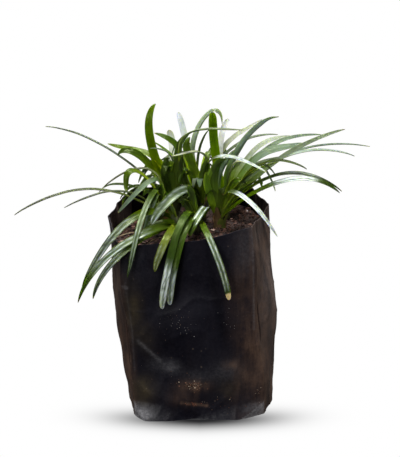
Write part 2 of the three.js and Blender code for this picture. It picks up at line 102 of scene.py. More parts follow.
# The blades that show from the front, by crown: width, places as (across, rise, depth) in the measuring view,
# tone, and for some how they face, a painted gleam, a blunt tip and a torn tip. A painted gleam is a painted
# highlight, two light streaks on the upper side: its start and end along the blade, its strength and its
# streaks' width. A blunt blade has a broad tip, and a torn one a dry tip.
BLADES = {}
BLADES["west"] = [
    (2.4, [(-48, 102, 0), (-73.8, 99, -5), (-93, 89.5, -8)], "slate"),
    (1.8, [(-35, 100.8, -5), (-52, 99.9, -11), (-68, 93.3, -16)], "slate"),
    (2.2, [(-22, 110, 6), (-36, 111.5, 8), (-51, 100.5, 8)], "slate"),
    (4, [(-24, 104.5, 2), (-33, 111.5, -3), (-36.8, 107.5, -6), (-37, 101.5, -9)], "green", {"tilt": 20}),
    (2.8, [(-21, 107, 0), (-31, 101.5, -8), (-41, 90.5, -14)], "sage", {"tilt": 30}),
    (4.2, [(-21.8, 100.3, -3), (-24.6, 92, -11), (-29, 80.3, -17)], "deep",
     {"tilt": 15, "painted_gleam": (0.5, 1, 0.25, 0.2)}),
    (2.8, [(-22.5, 101.5, -5), (-29.5, 87, -25), (-33.3, 72.5, -38.5), (-36.5, 58.2, -41)], "deep",
     {"tilt": 15, "painted_gleam": (0.3, 1, 0.3, 0.2)}),
]
BLADES["north_west"] = [
    (1.9, [(-31, 112, 20), (-54, 127, 26), (-77.3, 133.9, 34)], "slate"),
    (3.6, [(-19.5, 114.8, 18), (-31.5, 121.8, 22), (-46.3, 125.2, 28)], "bright", {"tilt": 30}),
    (4.2, [(-22, 110.5, 17), (-33, 120.8, 19), (-41, 119.3, 19)], "green", {"tilt": 45}),
    (4.6, [(-20, 111, 18), (-25.4, 131, 18), (-22.2, 145.2, 22)], "bright", {"face": 90}),
    (3.6, [(-13.5, 119, 33), (-15.6, 132, 37)], "ghost", {"face": 90, "blunt": True}),
    (4, [(-17.5, 107, 12), (-16, 118.5, 10)], "dark", {"face": -90}),
    (3, [(-23.5, 99.5, 13), (-36.5, 104.5, 13), (-48, 103.3, 16)], "dark"),
    (4.2, [(-11, 112, 15), (-11.5, 123.5, 13), (-23, 130.5, 15)], "green", {"tilt": 45}),
    (3.4, [(-11.5, 113, 11), (-10.5, 124, 9), (-5, 130.5, 8)], "dark", {"face": -90}),
    (2, [(-12.5, 113, 17), (-17, 121.5, 15), (-25, 122.8, 12)], "sage"),
]
BLADES["south_west"] = [
    (3.8, [(-28, 90.5, -16), (-45, 77, -31), (-59, 53, -38)], "dark",
     {"tilt": 40, "painted_gleam": (0.4, 0.95, 0.4, 0.2)}),
    (3.6, [(-22.5, 82.5, -25), (-44, 70.5, -40), (-61, 45.5, -46)], "deep",
     {"tilt": 40, "painted_gleam": (0.35, 0.85, 0.6, 0.2)}),
    (3.4, [(-26.5, 79, -27), (-43, 66.5, -43), (-53.5, 47.3, -47)], "dark",
     {"tilt": 30, "painted_gleam": (0.5, 1, 0.25, 0.2)}),
    (4, [(-15.3, 80, -33), (-19.7, 71, -41), (-22.7, 61, -42)], "yellow", {"painted_gleam": (0.5, 1, 0.3, 0.2)}),
    (3.4, [(-17.5, 89.5, -13), (-25.5, 86.5, -15)], "dark", {"tilt": 25}),
    (3.2, [(-17, 86, -18), (-27.5, 83, -21)], "dark", {"tilt": 25}),
]
BLADES["south"] = [
    (3.8, [(-8, 88, -29), (-15, 67, -45), (-19, 42.5, -47.4)], "deep",
     {"painted_gleam": (0.66, 1.1, 1.15, 0.34), "blunt": True}),
    (4.5, [(-5.5, 86, -28), (-12, 68.5, -43), (-15, 44.5, -45)], "deep",
     {"painted_gleam": (0.72, 1.1, 0.85, 0.3), "blunt": True}),
    (4.4, [(3, 93.5, -14), (-1.5, 87.5, -25), (-5.2, 78.8, -31)], "deep", {"painted_gleam": (0.28, 0.8, 0.9, 0.14)}),
    (3.4, [(3, 81, -34), (9.7, 64.8, -44), (14.5, 47, -46)], "deep",
     {"blunt": True, "torn": True, "painted_gleam": (0.35, 0.93, 0.7, 0.2)}),
    (3.6, [(-3.5, 97, -9), (-6, 104.5, -10)], "dark", {"face": -90}),
    (3.4, [(-6, 93.5, -7), (-11, 100, -6)], "dark", {"face": -80}),
]
BLADES["centre"] = [
    (4.8, [(-6.5, 102.5, -4), (-18, 94.5, -17), (-24.2, 84.8, -24)], "deep",
     {"tilt": 40, "painted_gleam": (0.25, 1.1, 0.4, 0.2)}),
    (3.2, [(-3, 111, 12), (-2.8, 127.5, 15), (4.5, 140.5, 19), (11, 135, 23)], "mist", {"face": -60}),
    (2.6, [(-1, 117, 14), (4.3, 132, 18)], "dark", {"face": -30}),
    (2.8, [(3.5, 117, 6), (-4, 121, 0), (-14.5, 119, -4)], "pale"),
    (2.5, [(3, 114.5, 4), (15.5, 118.6, -8), (33.5, 110.8, -22)], "sage",
     {"tilt": 20, "painted_gleam": (0.45, 1.1, 0.7, 0.5)}),
    (2.8, [(-9.5, 124.5, 4), (3, 132.5, -3), (21.5, 132.3, -8)], "sage"),
    (2.8, [(-8.5, 111, 18), (-10.3, 119.5, 20)], "pale", {"face": 90}),
    (4.4, [(-1.5, 108, 7), (-6, 120, 4), (-5, 128.5, 5)], "bright", {"face": -90}),
    (3.8, [(1, 108, 4), (4.5, 117.5, 2)], "green", {"face": -70}),
    (2.6, [(-8.5, 108, 5), (-8.5, 119, 2)], "dark", {"face": -90}),
]
BLADES["north"] = [
    (3.4, [(-8, 108, 26), (-12.5, 113.5, 25), (-15.8, 117.5, 24)], "pale", {"tilt": 15}),
    (3.2, [(-6.5, 109, 28), (-13.5, 118.5, 30), (-23.3, 126.3, 31)], "bright"),
    (3.2, [(-6, 122, 26), (-11, 140.8, 30)], "ghost", {"face": 90, "blunt": True}),
    (3.4, [(10, 119.5, 27), (17.5, 128.8, 30), (31, 137.5, 35)], "pale", {"tilt": 20}),
    (2.8, [(15, 122, 30), (39, 129.8, 40)], "sage"),
]
BLADES["east"] = [
    (4.2, [(7, 103, -5), (8, 113.5, -6), (13.5, 117.5, -8)], "dark", {"face": -90}),
    (3.6, [(5, 99.5, -7), (3, 111, -9)], "bright", {"face": -70}),
    (3.2, [(23, 112, 1), (36, 121, 3), (50, 124.5, 6)], "sage", {"tilt": 15}),
    (3.6, [(28, 108, -3), (49, 123, -3), (72.5, 132.5, -2)], "sage", {"tilt": 20}),
    (2.8, [(25, 111, -8), (40, 116.8, -12), (53.5, 112.5, -16)], "dark"),
    (2.4, [(22.5, 109.5, -6), (31, 115, -8), (38, 109.3, -10)], "dark"),
    (3.6, [(25, 103, -10), (46, 110.3, -15), (71, 101.3, -19)], "dark",
     {"tilt": 10, "painted_gleam": (0.55, 0.9, 0.3, 0.2)}),
    (4, [(24, 98.5, -16), (46.5, 107.3, -23), (70, 100.5, -28)], "dark",
     {"tilt": 20, "painted_gleam": (0.5, 0.86, 1.2, 0.3)}),
    (2.5, [(14.5, 101, -13), (26, 95, -28), (38.8, 78.5, -36)], "sage",
     {"tilt": 30, "painted_gleam": (0.42, 1.1, 0.85, 0.8)}),
    (3.2, [(20, 106, -3), (39, 116, -7)], "green"),
    (3, [(19, 100.5, -13), (31, 107.5, -20)], "dark"),
    (3.2, [(3.5, 103, -5), (3.8, 108.5, -6), (6, 113.5, -5)], "bright", {"face": -100}),
    (3.8, [(9, 105, -4), (11.5, 114, -2), (17, 122, 2)], "sage", {"face": -60}),
]
BLADES["north_east"] = [
    (4.4, [(7.5, 122, 9), (6.3, 141, 8)], "bright", {"face": 90, "blunt": True}),
    (3, [(10, 122, 21), (14.3, 137.5, 26)], "ghost", {"face": 90, "blunt": True}),
    (4.6, [(15.5, 114, 14), (26, 131, 18), (39.5, 138.8, 24)], "pale", {"face": -55}),
    (3.2, [(20, 111.5, 19), (31, 124.8, 27), (49, 128.4, 36)], "pale", {"tilt": 20}),
    (3.2, [(23.5, 112, 16), (38.5, 125.5, 22), (61.5, 129.5, 30)], "sage", {"tilt": 20}),
    (3.6, [(24, 114.5, 10), (36.5, 122.8, 13), (51.5, 125.5, 18)], "sage", {"tilt": 15}),
    (2.2, [(29, 111, 14), (52.5, 122.9, 22), (85, 124, 32)], "sage"),
    (3.2, [(27, 109.5, 8), (50, 120.8, 14), (77.5, 119, 20)], "pale"),
    (3.4, [(21.5, 110, 20), (41.5, 118.5, 30)], "sage", {"tilt": 20}),
    (3.2, [(19, 104, 24), (36, 114, 36)], "sage", {"tilt": 15}),
    (3.2, [(14.5, 109.5, 14), (18, 116, 12), (22.5, 115.5, 10)], "pale"),
]

# The blades behind and between those, drawn by the same rule and seeds as in the part's source: crown, seed,
# how many, and the ranges of heading, reach, height and hang
SEED_STEP = 7919
FILL_TRIES = 40
FILL_CLEARANCE = 3.6
FILL_WIDTH = (2.8, 4)
FILL_TILT = (-25, 25)
FILLS = [
    ("north", 41, 8, (48, 135), (34, 58), (10, 19), (8, 34)),
    ("north_west", 12, 5, (108, 160), (30, 48), (8, 14), (10, 26)),
    ("north_east", 50, 5, (35, 72), (34, 52), (9, 15), (10, 26)),
    ("west", 12, 2, (150, 185), (20, 34), (9, 14), (2, 12)),
    ("centre", 20, 4, (60, 300), (6, 15), (12, 25), (0, 3)),
    ("north", 26, 4, (0, 360), (5, 14), (16, 26), (0, 3)),
    ("north_west", 73, 3, (170, 360), (6, 14), (12, 24), (0, 3)),
    ("centre", 43, 2, (140, 215), (12, 22), (16, 27), (0, 6)),
    ("west", 28, 3, (150, 300), (6, 14), (8, 14), (0, 3)),
    ("south", 49, 6, (60, 200), (3, 10), (7, 16), (0, 3)),
    ("east", 15, 4, (180, 420), (6, 16), (10, 18), (0, 4)),
    ("south_west", 73, 4, (90, 220), (7, 15), (5, 11), (0, 5)),
    ("centre", 25, 5, (200, 340), (4, 11), (7, 14), (0, 3)),
]
FILL_TONES = ["green", "dark", "dark", "green", "sage"]

# A leaf's colour by tone, further out and near the root. The tones are largely lit and shaded copies of one
# further out are painted reflection of a bright sky on glossy blades. Near the root the colour is lighter and
# green: bright is painted glow of light through the leaf, dark is painted shade, and sage, pale, mist and
# ghost
# yellower: partly its own fresher colour, partly painted glow of light through the leaf.
TONES = {
    "bright": ((0.062, 0.112, 0.0008), (0.170, 0.250, 0.001)),
    "green": ((0.030, 0.058, 0.0008), (0.130, 0.205, 0.001)),
    "deep": ((0.022, 0.044, 0.004), (0.032, 0.060, 0.003)),
    "dark": ((0.011, 0.021, 0.0006), (0.050, 0.090, 0.0006)),
    "sage": ((0.105, 0.135, 0.082), (0.060, 0.100, 0.004)),
    "slate": ((0.064, 0.070, 0.048), (0.060, 0.080, 0.020)),
    "pale": ((0.250, 0.285, 0.215), (0.090, 0.140, 0.012)),
    "ghost": ((0.660, 0.700, 0.640), (0.100, 0.140, 0.050)),
    "mist": ((0.490, 0.550, 0.380), (0.090, 0.140, 0.020)),
    "yellow": ((0.060, 0.082, 0.006), (0.050, 0.075, 0.004)),
}

# Small maths


def mix(low, high, share):
    return low + (high - low) * share


def clamp(value, low=0.0, high=1.0):
    return max(low, min(high, value))


def smoothstep(value, low, high):
    share = clamp((value - low) / (high - low))
    return share * share * (3 - 2 * share)


def bell(offset, width):
    return math.exp(-((offset / width) ** 2))


def ridge(offset, width):
    return max(0.0, 1 - abs(offset) / width)


def rough(x, y, z, size):
    """Smooth noise between -1 and 1, with lumps of about that size."""
    return noise.noise(Vector((x, y, z)) / size)


def spoke(angle):
    """The level unit vector at an angle."""
    return Vector((math.cos(angle), math.sin(angle), 0))


# Meshes


def show(name, data):
    """An object of that data, placed in the scene."""
    made = bpy.data.objects.new(name, data)
    bpy.context.collection.objects.link(made)
    return made


def within_box(point):
    """The nearest point in the box of the solids."""
    low, high = cad_box
    return Vector(clamp(value, low[axis], high[axis]) for axis, value in enumerate(point))


class Pile:
    """Points, faces and what the materials read from them, gathered for one piece."""

    def __init__(self):
        self.points = []
        self.faces = []
        self.kinds = []
        self.tints = []
        self.grains = []

    def add(self, points, faces, tint, grains=None, kinds=None):
        first = len(self.points)
        self.points.extend(points)
        self.faces.extend([tuple(first + i for i in face) for face in faces])
        self.kinds.extend(kinds or [0] * len(faces))
        self.tints.extend([tint] * len(points) if isinstance(tint, tuple) else tint)
        self.grains.extend(grains or [(0, 0, 0)] * len(points))

    def piece(self, name, materials, slot, nodes=(), sharp=40):
        """The visible piece, which takes the place of the named nodes of the CAD."""
        mesh = bpy.data.meshes.new(name)
        mesh.from_pydata([within_box(Vector(p) * MM) for p in self.points], [], self.faces)
        for material in materials:
            mesh.materials.append(material)
        mesh.polygons.foreach_set("material_index", self.kinds)
        mesh.polygons.foreach_set("use_smooth", [True] * len(self.faces))
        tint = mesh.attributes.new("tint", "FLOAT_COLOR", "POINT")
        tint.data.foreach_set("color", [c for t in self.tints for c in (*t, 1.0)])
        grain = mesh.attributes.new("grain", "FLOAT_VECTOR", "POINT")
        grain.data.foreach_set("vector", [c for g in self.grains for c in g])
        mesh.update()
        mesh.set_sharp_from_angle(angle=math.radians(sharp))
        piece = show(name, mesh)
        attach(piece, "root")
        if nodes:
            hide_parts(*nodes)


def skin_faces(rings, around):
    """The faces over rings of points, with a point before the first ring and one after the last."""
    faces = []
    last = 1 + rings * around
    top = last - around
    for i in range(around):
        j = (i + 1) % around
        faces.append((0, 1 + j, 1 + i))
        for ring in range(rings - 1):
            low = 1 + ring * around
            high = low + around
            faces.append((low + i, low + j, high + j, high + i))
        faces.append((last, top + i, top + j))
    return faces


# Materials

MIX_INPUTS = (0, 6, 7)  # the mix node's factor and its two colours
MIX_RESULT = 2


class Nodes:
    """Makes and links the nodes of a material or of the world."""

    def __init__(self, tree):
        self.tree = tree

    def dress(self, node, inputs):
        """Links each named input to an output, or sets its own value."""
        for name, value in inputs.items():
            socket = node.inputs[name]
            if isinstance(value, bpy.types.NodeSocket):
                self.tree.links.new(value, socket)
            else:
                socket.default_value = (*value, 1.0) if socket.type == "RGBA" else value

    def make(self, kind, inputs, **settings):
        made = self.tree.nodes.new("ShaderNode" + kind)
        for name, value in settings.items():
            setattr(made, name, value)
        self.dress(made, inputs)
        return made

    def math(self, operation, a, b=0.0):
        return self.make("Math", {0: a, 1: b}, operation=operation).outputs[0]

    def times(self, a, b):
        return self.math("MULTIPLY", a, b)

    def plus(self, a, b):
        return self.math("ADD", a, b)

    def ramp(self, factor, low, high, start=0.0, end=1.0):
        """factor between low and high becomes a number between start and end."""
        inputs = {"Value": factor, "From Min": low, "From Max": high, "To Min": start, "To Max": end}
        return self.make("MapRange", inputs, clamp=True).outputs["Result"]

    def blend(self, factor, a, b, mode="MIX"):
        inputs = dict(zip(MIX_INPUTS, (factor, a, b)))
        return self.make("Mix", inputs, data_type="RGBA", blend_type=mode).outputs[MIX_RESULT]

    def with_stains_and_painted_light(self, colour, *stains_and_painted_light):
        """The colour under stains and painted light, each given as its share and its own colour."""
        for share, stain_and_highlight in stains_and_painted_light:
            colour = self.blend(share, colour, stain_and_highlight)
        return colour

    def shaded(self, colour, factor):
        """The colour, made darker or lighter by a factor."""
        grey = self.make("CombineXYZ", {axis: factor for axis in "XYZ"}).outputs["Vector"]
        return self.blend(1.0, colour, grey, "MULTIPLY")

    def cover(self, amount, ragged, least):
        """How much of a layer shows, stain and painted highlight alike: its amount, broken up by a ragged
        cloud.
        """
        return self.math("MINIMUM", self.times(amount, self.plus(ragged, least)), 1.0)

    def cloud(self, place, scale, detail=4.0, roughness=0.6):
        inputs = {"Vector": place, "Scale": scale, "Detail": detail, "Roughness": roughness}
        return self.make("TexNoise", inputs).outputs["Fac"]

    def stretched(self, place, x, y, z):
        return self.make("Mapping", {"Vector": place, "Scale": (x, y, z)}).outputs["Vector"]

    def bump(self, height, strength, distance):
        inputs = {"Height": height, "Strength": strength, "Distance": distance}
        return self.make("Bump", inputs).outputs["Normal"]

    def place(self):
        return self.make("TexCoord", {}).outputs["Object"]

    def tint(self):
        return self.make("Attribute", {}, attribute_name="tint").outputs["Color"]

    def grain(self):
        """What a blade says of each point: how far across and along it is, and a number of its own."""
        return self.split(self.make("Attribute", {}, attribute_name="grain").outputs["Vector"])

    def split(self, vector):
        return self.make("SeparateXYZ", {"Vector": vector}).outputs


def new_material(name):
    material = bpy.data.materials.new(name)
    material.use_nodes = True
    return material, Nodes(material.node_tree), material.node_tree.nodes["Principled BSDF"]


LEAF_VEINS = 30.0  # waves to half a blade's width
VEIN_SHADES = ((0.84, 0.86, 0.84), (1.1, 1.08, 1.1))
# the root's yellow-green: partly its own fresher colour, partly painted glow of light through the leaf
ROOT_GREEN = (0.13, 0.17, 0.006)
DRY_TIP = (0.16, 0.10, 0.03)
TORN_TIP = (0.62, 0.47, 0.24)
UNDER_GREEN = (0.13, 0.18, 0.06)


def leaf_material(name, gloss, specular, paler):
    """A blade's skin: fine long veins, a fresher root with painted glow, a dry tip on some, and a waxy gloss.
    """
    material, nodes, shader = new_material(name)
    across, along, own = nodes.grain()
    place = nodes.place()
    wave = nodes.math("SINE", nodes.times(across, LEAF_VEINS))
    veins = nodes.blend(nodes.ramp(wave, -1.0, 1.0), *VEIN_SHADES)
    colour = nodes.blend(1.0, nodes.tint(), veins, "MULTIPLY")
    colour = nodes.shaded(colour, nodes.ramp(nodes.cloud(place, 190.0), 0.35, 0.7, 0.8, 1.22))
    dry = nodes.times(nodes.ramp(along, 0.97, 1.0, 0.0, 0.7), nodes.ramp(own, 0.4, 0.7))
    torn = nodes.times(nodes.ramp(along, 0.925, 0.945), nodes.ramp(own, 1.5, 1.6))
    root = nodes.ramp(along, 0.0, 0.22, 0.8, 0.0)
    relief = nodes.plus(nodes.times(wave, 0.5), nodes.cloud(place, 900.0))
    nodes.dress(shader, {
        "Base Color": nodes.with_stains_and_painted_light(
            colour, (root, ROOT_GREEN), (dry, DRY_TIP), (torn, TORN_TIP), (paler, UNDER_GREEN),
        ),
        "Roughness": nodes.ramp(nodes.cloud(place, 420.0), 0.3, 0.7, *gloss),
        "Specular IOR Level": specular,
        "Specular Tint": (0.8, 1.0, 0.4),
        "Subsurface Weight": 0.4,
        "Subsurface Radius": (0.8, 1.0, 0.2),
        "Subsurface Scale": 0.001,
        "Normal": nodes.bump(relief, 0.5, 0.00012),
    })
    return material


FILM_BLACKS = [(0.0020, 0.0023, 0.0056), (0.0060, 0.0062, 0.0115), (0.0180, 0.0175, 0.0250)]
MUD = (0.125, 0.074, 0.050)
MOSS = (0.070, 0.054, 0.030)
DUST_AND_HIGHLIGHT_GREY = (0.31, 0.305, 0.32)
SPECK = (0.20, 0.15, 0.11)


def film_material(name, shade):
    """Black polyethylene film: dull, creased, dusty, with streaks of dried mud, painted highlights and
    painted shade.
    """
    material, nodes, shader = new_material(name)
    place = nodes.place()
    brown, olive, dust_and_highlight = nodes.make("SeparateColor", {"Color": nodes.tint()}).outputs
    patches = nodes.ramp(nodes.cloud(place, 34.0, 6.0, 0.65), 0.38, 0.66)
    streaks = nodes.ramp(nodes.cloud(nodes.stretched(place, 210.0, 210.0, 26.0), 1.0, 5.0, 0.7), 0.40, 0.64)
    fine = nodes.ramp(nodes.cloud(place, 700.0, 4.0, 0.75), 0.42, 0.64)
    blots = nodes.ramp(nodes.cloud(place, 120.0, 6.0, 0.7), 0.45, 0.7)
    mud = nodes.cover(brown, nodes.plus(nodes.times(streaks, 0.55), nodes.times(blots, 0.5)), 0.25)
    moss = nodes.cover(olive, nodes.times(blots, 0.5), 0.4)
    # the dust channel: real dust, and painted highlights on the creases, the rim and the foot's folds
    dust_and_highlight_cover = nodes.cover(dust_and_highlight, nodes.times(fine, 0.45), 0.4)
    grit = nodes.make("TexVoronoi", {"Vector": place, "Scale": 260.0}).outputs["Distance"]
    seen = nodes.ramp(nodes.cloud(place, 45.0), 0.50, 0.62)
    # shade darkens the specks, the blacks and the gloss: painted shade, for the film's inner side
    specks = nodes.times(nodes.times(nodes.ramp(grit, 0.16, 0.08), seen), 0.35 * shade)
    deep, mottle, bloom = (tuple(shade * value for value in black) for black in FILM_BLACKS)
    colour = nodes.with_stains_and_painted_light(nodes.blend(patches, deep, mottle), (nodes.times(fine, 0.22), bloom))
    ridges = nodes.cloud(nodes.stretched(place, 150.0, 150.0, 60.0), 1.0, 8.0, 0.6)
    nodes.dress(shader, {
        "Base Color": nodes.with_stains_and_painted_light(colour, (mud, MUD), (moss, MOSS), (dust_and_highlight_cover, DUST_AND_HIGHLIGHT_GREY), (specks, SPECK)),
        "Roughness": nodes.plus(nodes.ramp(patches, 0.0, 1.0, 0.34, 0.48), nodes.times(mud, 0.25)),
        "Specular IOR Level": 0.14 * shade,
        "Sheen Weight": 0.05,
        "Sheen Roughness": 0.45,
        "Sheen Tint": (0.85, 0.62, 0.5),
        "Normal": nodes.bump(nodes.plus(ridges, nodes.times(fine, 0.12)), 0.5, 0.0006),
    })
    return material


def earth_material(name, gloss):
    """Crumbly matter in the colour of each piece's own tint."""
    material, nodes, shader = new_material(name)
    place = nodes.place()
    light = nodes.ramp(nodes.cloud(place, 700.0, 5.0, 0.7), 0.3, 0.72, 0.45, 1.5)
    nodes.dress(shader, {
        "Base Color": nodes.shaded(nodes.tint(), light),
        "Roughness": nodes.ramp(light, 0.5, 1.4, gloss, 0.95),
        "Specular IOR Level": 0.3,
        "Normal": nodes.bump(nodes.cloud(place, 1400.0, 6.0, 0.75), 0.7, 0.0004),
    })
    return material


SHEATH_FIBRES = 40.0  # waves to half a sheath's width


def sheath_material():
    """Dry papery leaf sheath, with fibres along it."""
    material, nodes, shader = new_material("sheath brown")
    wave = nodes.math("SINE", nodes.times(nodes.grain()[0], SHEATH_FIBRES))
    fibre = nodes.plus(nodes.times(wave, 0.3), nodes.cloud(nodes.place(), 500.0))
    nodes.dress(shader, {
        "Base Color": nodes.shaded(nodes.tint(), nodes.ramp(fibre, 0.1, 0.9, 0.55, 1.35)),
        "Roughness": nodes.ramp(fibre, 0.0, 1.0, 0.55, 0.8),
        "Normal": nodes.bump(fibre, 0.5, 0.0003),
    })
    return material


# Bag

COUNT = len(CREASES)
RIM_BEND = (1.35, 2, 2, 2, 2, 2)  # how late the rim rises along each panel
RIM_RISE = 6  # how far up the film its rim begins to shape it
PANEL_STEPS = (120, 34, 34, 90, 34, 34)  # points across each panel of the film
LEVELS = 110
LEVEL_BEND = 1.12
INNER_LEVELS = 26
INNER_BEND = 1.6
FILM_SHOWN = 0.3
SOFTEN = 0.022  # how far a crease is rounded, as a share of a panel
FILM_PLACES = [panel + i / steps for panel, steps in enumerate(PANEL_STEPS) for i in range(steps)]
AROUND = len(FILM_PLACES)
FRONT = 0.5
# How far the side edges stand out to the right: distance, middle height and its spread, place and its spread
SWELLS = [(3.2, 36, 24, 0.0, 0.3), (-2.6, 52, 26, 1.0, 0.3), (1.6, 42, 24, 1.7, 0.6)]


def panel_at(place):
    """The panel at a place round the bag, where 0 to 6 counts the creases, and how far along it that is."""
    start = math.floor(place)
    return start % COUNT, place - start


def gap(place, at):
    """How far round the bag a place is from another, by the shorter way."""
    return (place - at + COUNT / 2) % COUNT - COUNT / 2


def near(place, at, width):
    return ridge(gap(place, at), width)


def crumple(place, z):
    return 0.35 * math.sin(place * 5.2 + z * 0.11) + 0.3 * math.sin(place * 8.4 - z * 0.17 + 1)


def bag_wall(place, z, inset=0.0):
    """The wall at a place round the bag and at a height."""
    panel, along = panel_at(place)
    share = clamp(z / BAG_HEIGHT)
    ends = []
    for crease in (CREASES[panel], CREASES[(panel + 1) % COUNT]):
        ends.append([mix(low, high, share) for low, high in zip(crease["base"], crease["rim"])])
    (x0, y0), (x1, y1) = ends
    run = math.hypot(x1 - x0, y1 - y0)
    low, high = CREASES[panel]["bulge"]
    swell = mix(low, high, min(share * 2.5, 1)) * 4 * along * (1 - along) + crumple(place, z)
    x = mix(x0, x1, along) + (y1 - y0) / run * swell
    y = mix(y0, y1, along) + (x0 - x1) / run * swell
    belly = BELLY * math.sin(math.pi * share) ** 1.5
    return pushed(x, y, share, belly - HEEL * bell(z, HEEL_HEIGHT) - inset)


def pushed(x, y, share, out):
    """A point of the wall moved away from the bag's leaning axis."""
    middle = LEAN * share
    radius = math.hypot(x - middle, y)
    scale = (radius + out) / radius
    return middle + (x - middle) * scale, y * scale


def rim_lift(place):
    panel, along = panel_at(place)
    lift = CREASES[panel]["lift"]
    far_lift = CREASES[(panel + 1) % COUNT]["lift"]
    return mix(lift, far_lift, along ** RIM_BEND[panel]) + 0.4 * math.sin(place * 7)


def soft_wall(place, z, inset):
    """The wall with its creases rounded: the mean of places nearby."""
    x = y = total = 0.0
    for step, weight in ((-1, 1), (-0.5, 2), (0, 2), (0.5, 2), (1, 1)):
        px, py = bag_wall((place + step * SOFTEN) % COUNT, z, inset)
        x += px * weight
        y += py * weight
        total += weight
    return x / total, y / total


# The tucked corners of the bag's foot: the crease that each stands beside, on which side, how far along the
# panel the tuck runs, how far it stands out, how tall it is and how strong its fold's painted highlight is.
TUCKS = [
    (0, 1, 0.13, 5.4, 8.5, 1.0),
    (1, -1, 0.22, 3.4, 7.2, 0.55),
    (3, 1, 0.16, 4.2, 7.5, 0.7),
    (4, -1, 0.14, 3.6, 8, 0.6),
]
TUCK_FADE = 0.32
TUCK_EDGE = 0.01


def tucks_at(place, z):
    """For each tuck at that height: how far into the panel a place is, the tuck's reach and depth there, and
    its painted highlight."""
    for crease, side, wide, depth, tall, dust_and_highlight in TUCKS:
        left = 1 - z / tall
        if left > 0:
            yield gap(place, crease) * side, wide * left, depth * left, dust_and_highlight


def tucked(place, z):
    out = 0.0
    for inward, reach, depth, _ in tucks_at(place, z):
        if inward >= 0:
            out += depth * (inward / reach if inward < reach else clamp(1 - (inward - reach) / TUCK_FADE))
    return out


def tuck_painted_highlight(place, z):
    # the lit folds of the foot: painted highlight, laid into the dust channel as pale grey
    dust_and_highlight = 0.0
    for inward, reach, _, painted_highlight in tucks_at(place, z):
        if inward > -TUCK_EDGE:
            inner = smoothstep(reach - inward, -0.006, TUCK_EDGE)
            dust_and_highlight += painted_highlight * inner * smoothstep(inward, -TUCK_EDGE, TUCK_EDGE)
    return dust_and_highlight


def film_relief(place, z, x, y, folded):
    """How far the film stands out from its plain wall, with the folds of its foot or without."""
    # broad dents, and sharper creases that are strongest at the foot
    out = 0.5 * rough(x, y, z, 19) + 0.22 * rough(x + 40, y, z * 0.6, 9)
    creased = 1 - abs(rough(x, y + 90, z * 0.8, 15)) * 2.4
    out += 0.3 * max(0.0, creased) ** 3
    fine = 1 - abs(rough(x * 1.3, y - 60, z * 0.35, 7)) * 3
    out += 0.25 * max(0.0, fine) ** 2 * (1 - 0.85 * smoothstep(z, 6, 26))
    # the free rim above the soil, wavier at the sides and the back
    free = smoothstep(z, SOIL_HEIGHT - 4, SOIL_HEIGHT + 8) * (1 - 0.7 * near(place, FRONT, 0.5) ** 0.5)
    out += free * (0.8 * rough(x, y, z * 0.25 + 50, 6.5) + 0.4 * rough(x, y, z * 0.4 + 90, 3))
    if folded:
        out += tucked(place, z) + 0.9 * bell(z, HEEL_HEIGHT)
    # the gussets' pressed creases
    for at in range(COUNT):
        out += 0.35 * near(place, at, 0.04) * smoothstep(z, 14, 50)
    return out


def film_point(place, z, inset):
    low = 1 - smoothstep(z, 10, 22)
    x, y = soft_wall(place, z, inset * (1 + 2 * low))
    for right, height, tall, at, wide in SWELLS:
        x += right * bell(z - height, tall) * near(place, at, wide)
    return (*pushed(x, y, clamp(z / BAG_HEIGHT), film_relief(place, z, x, y, inset == 0)), z)


# Marks on the front of the film: middle (x, z), half width and height, and strength
MARKS = {
    "olive": [
        ((-29, 15), (6, 7), 1.0),
        ((-33, 60), (4, 13), 0.8),
        ((-27, 44), (5, 8), 0.4),
        ((14, 17), (6, 6), 0.35),
    ],
    "brown": [
        ((15, 30), (3.5, 2.5), 0.7),
        ((-3, 18.6), (6.5, 3), 1.2),
        ((21, 68), (7, 16), 0.25),
        ((26, 42), (7, 9), 0.5),
        ((24, 20), (8, 10), 0.45),
        ((-8, 12), (7, 4), 0.35),
    ],
    # dust; the marks low at the front corners, at (-29, 3) and (28, 5), are painted highlight on the foot's
    # folds
    "dust_and_highlight": [
        ((-14, 29), (3.6, 3), 0.26),
        ((-20, 30), (5, 4), 0.14),
        ((22, 88), (5, 9), 0.08),
        ((13, 27), (7, 6), 0.12),
        ((0, 24), (8, 4), 0.1),
        ((-29, 3), (5, 3), 0.9),
        ((28, 5), (6, 3), 0.25),
    ],
}
# Straight marks: what they are made of, both ends, half width and strength
STROKES = [
    # the dust strokes along the creases are partly dust and partly painted highlight
    ("dust_and_highlight", (-30.5, 42.6), (-19.7, 32.3), 0.9, 0.24),
    ("brown", (-9.3, 9.3), (3.4, 7.1), 0.7, 1.0),
    ("dust_and_highlight", (25.4, 106), (26.6, 49), 0.5, 0.16),
    ("dust_and_highlight", (-41, 72), (-35.5, 71.5), 0.5, 0.3),
    ("dust_and_highlight", (-36.5, 74), (-33.4, 48), 0.4, 0.1),
    ("dust_and_highlight", (-33.4, 48), (-32.5, 26), 0.4, 0.1),
]
# Lighter creases of the gussets and a lighter rim, partly dust and partly painted highlight: strength, place
# and its spread, and the heights between which the dust and painted highlight come in
DUST_AND_HIGHLIGHT_BANDS = [
    (0.25, 5.0, 0.08, (-2, -1)),
    (0.2, 2.0, 0.1, (-2, -1)),
    (0.1, 5.3, 0.7, (86, 97)),
    (0.18, 1.3, 0.5, (88, 99)),
]
FOOT_STAIN = (0.2, 0, 0)
INSIDE_STAIN = (0, 0, 0)


def stroke_gap(x, z, start, end):
    run = (end[0] - start[0], end[1] - start[1])
    along = clamp(((x - start[0]) * run[0] + (z - start[1]) * run[1]) / (run[0] ** 2 + run[1] ** 2))
    return math.hypot(x - start[0] - run[0] * along, z - start[1] - run[1] * along)


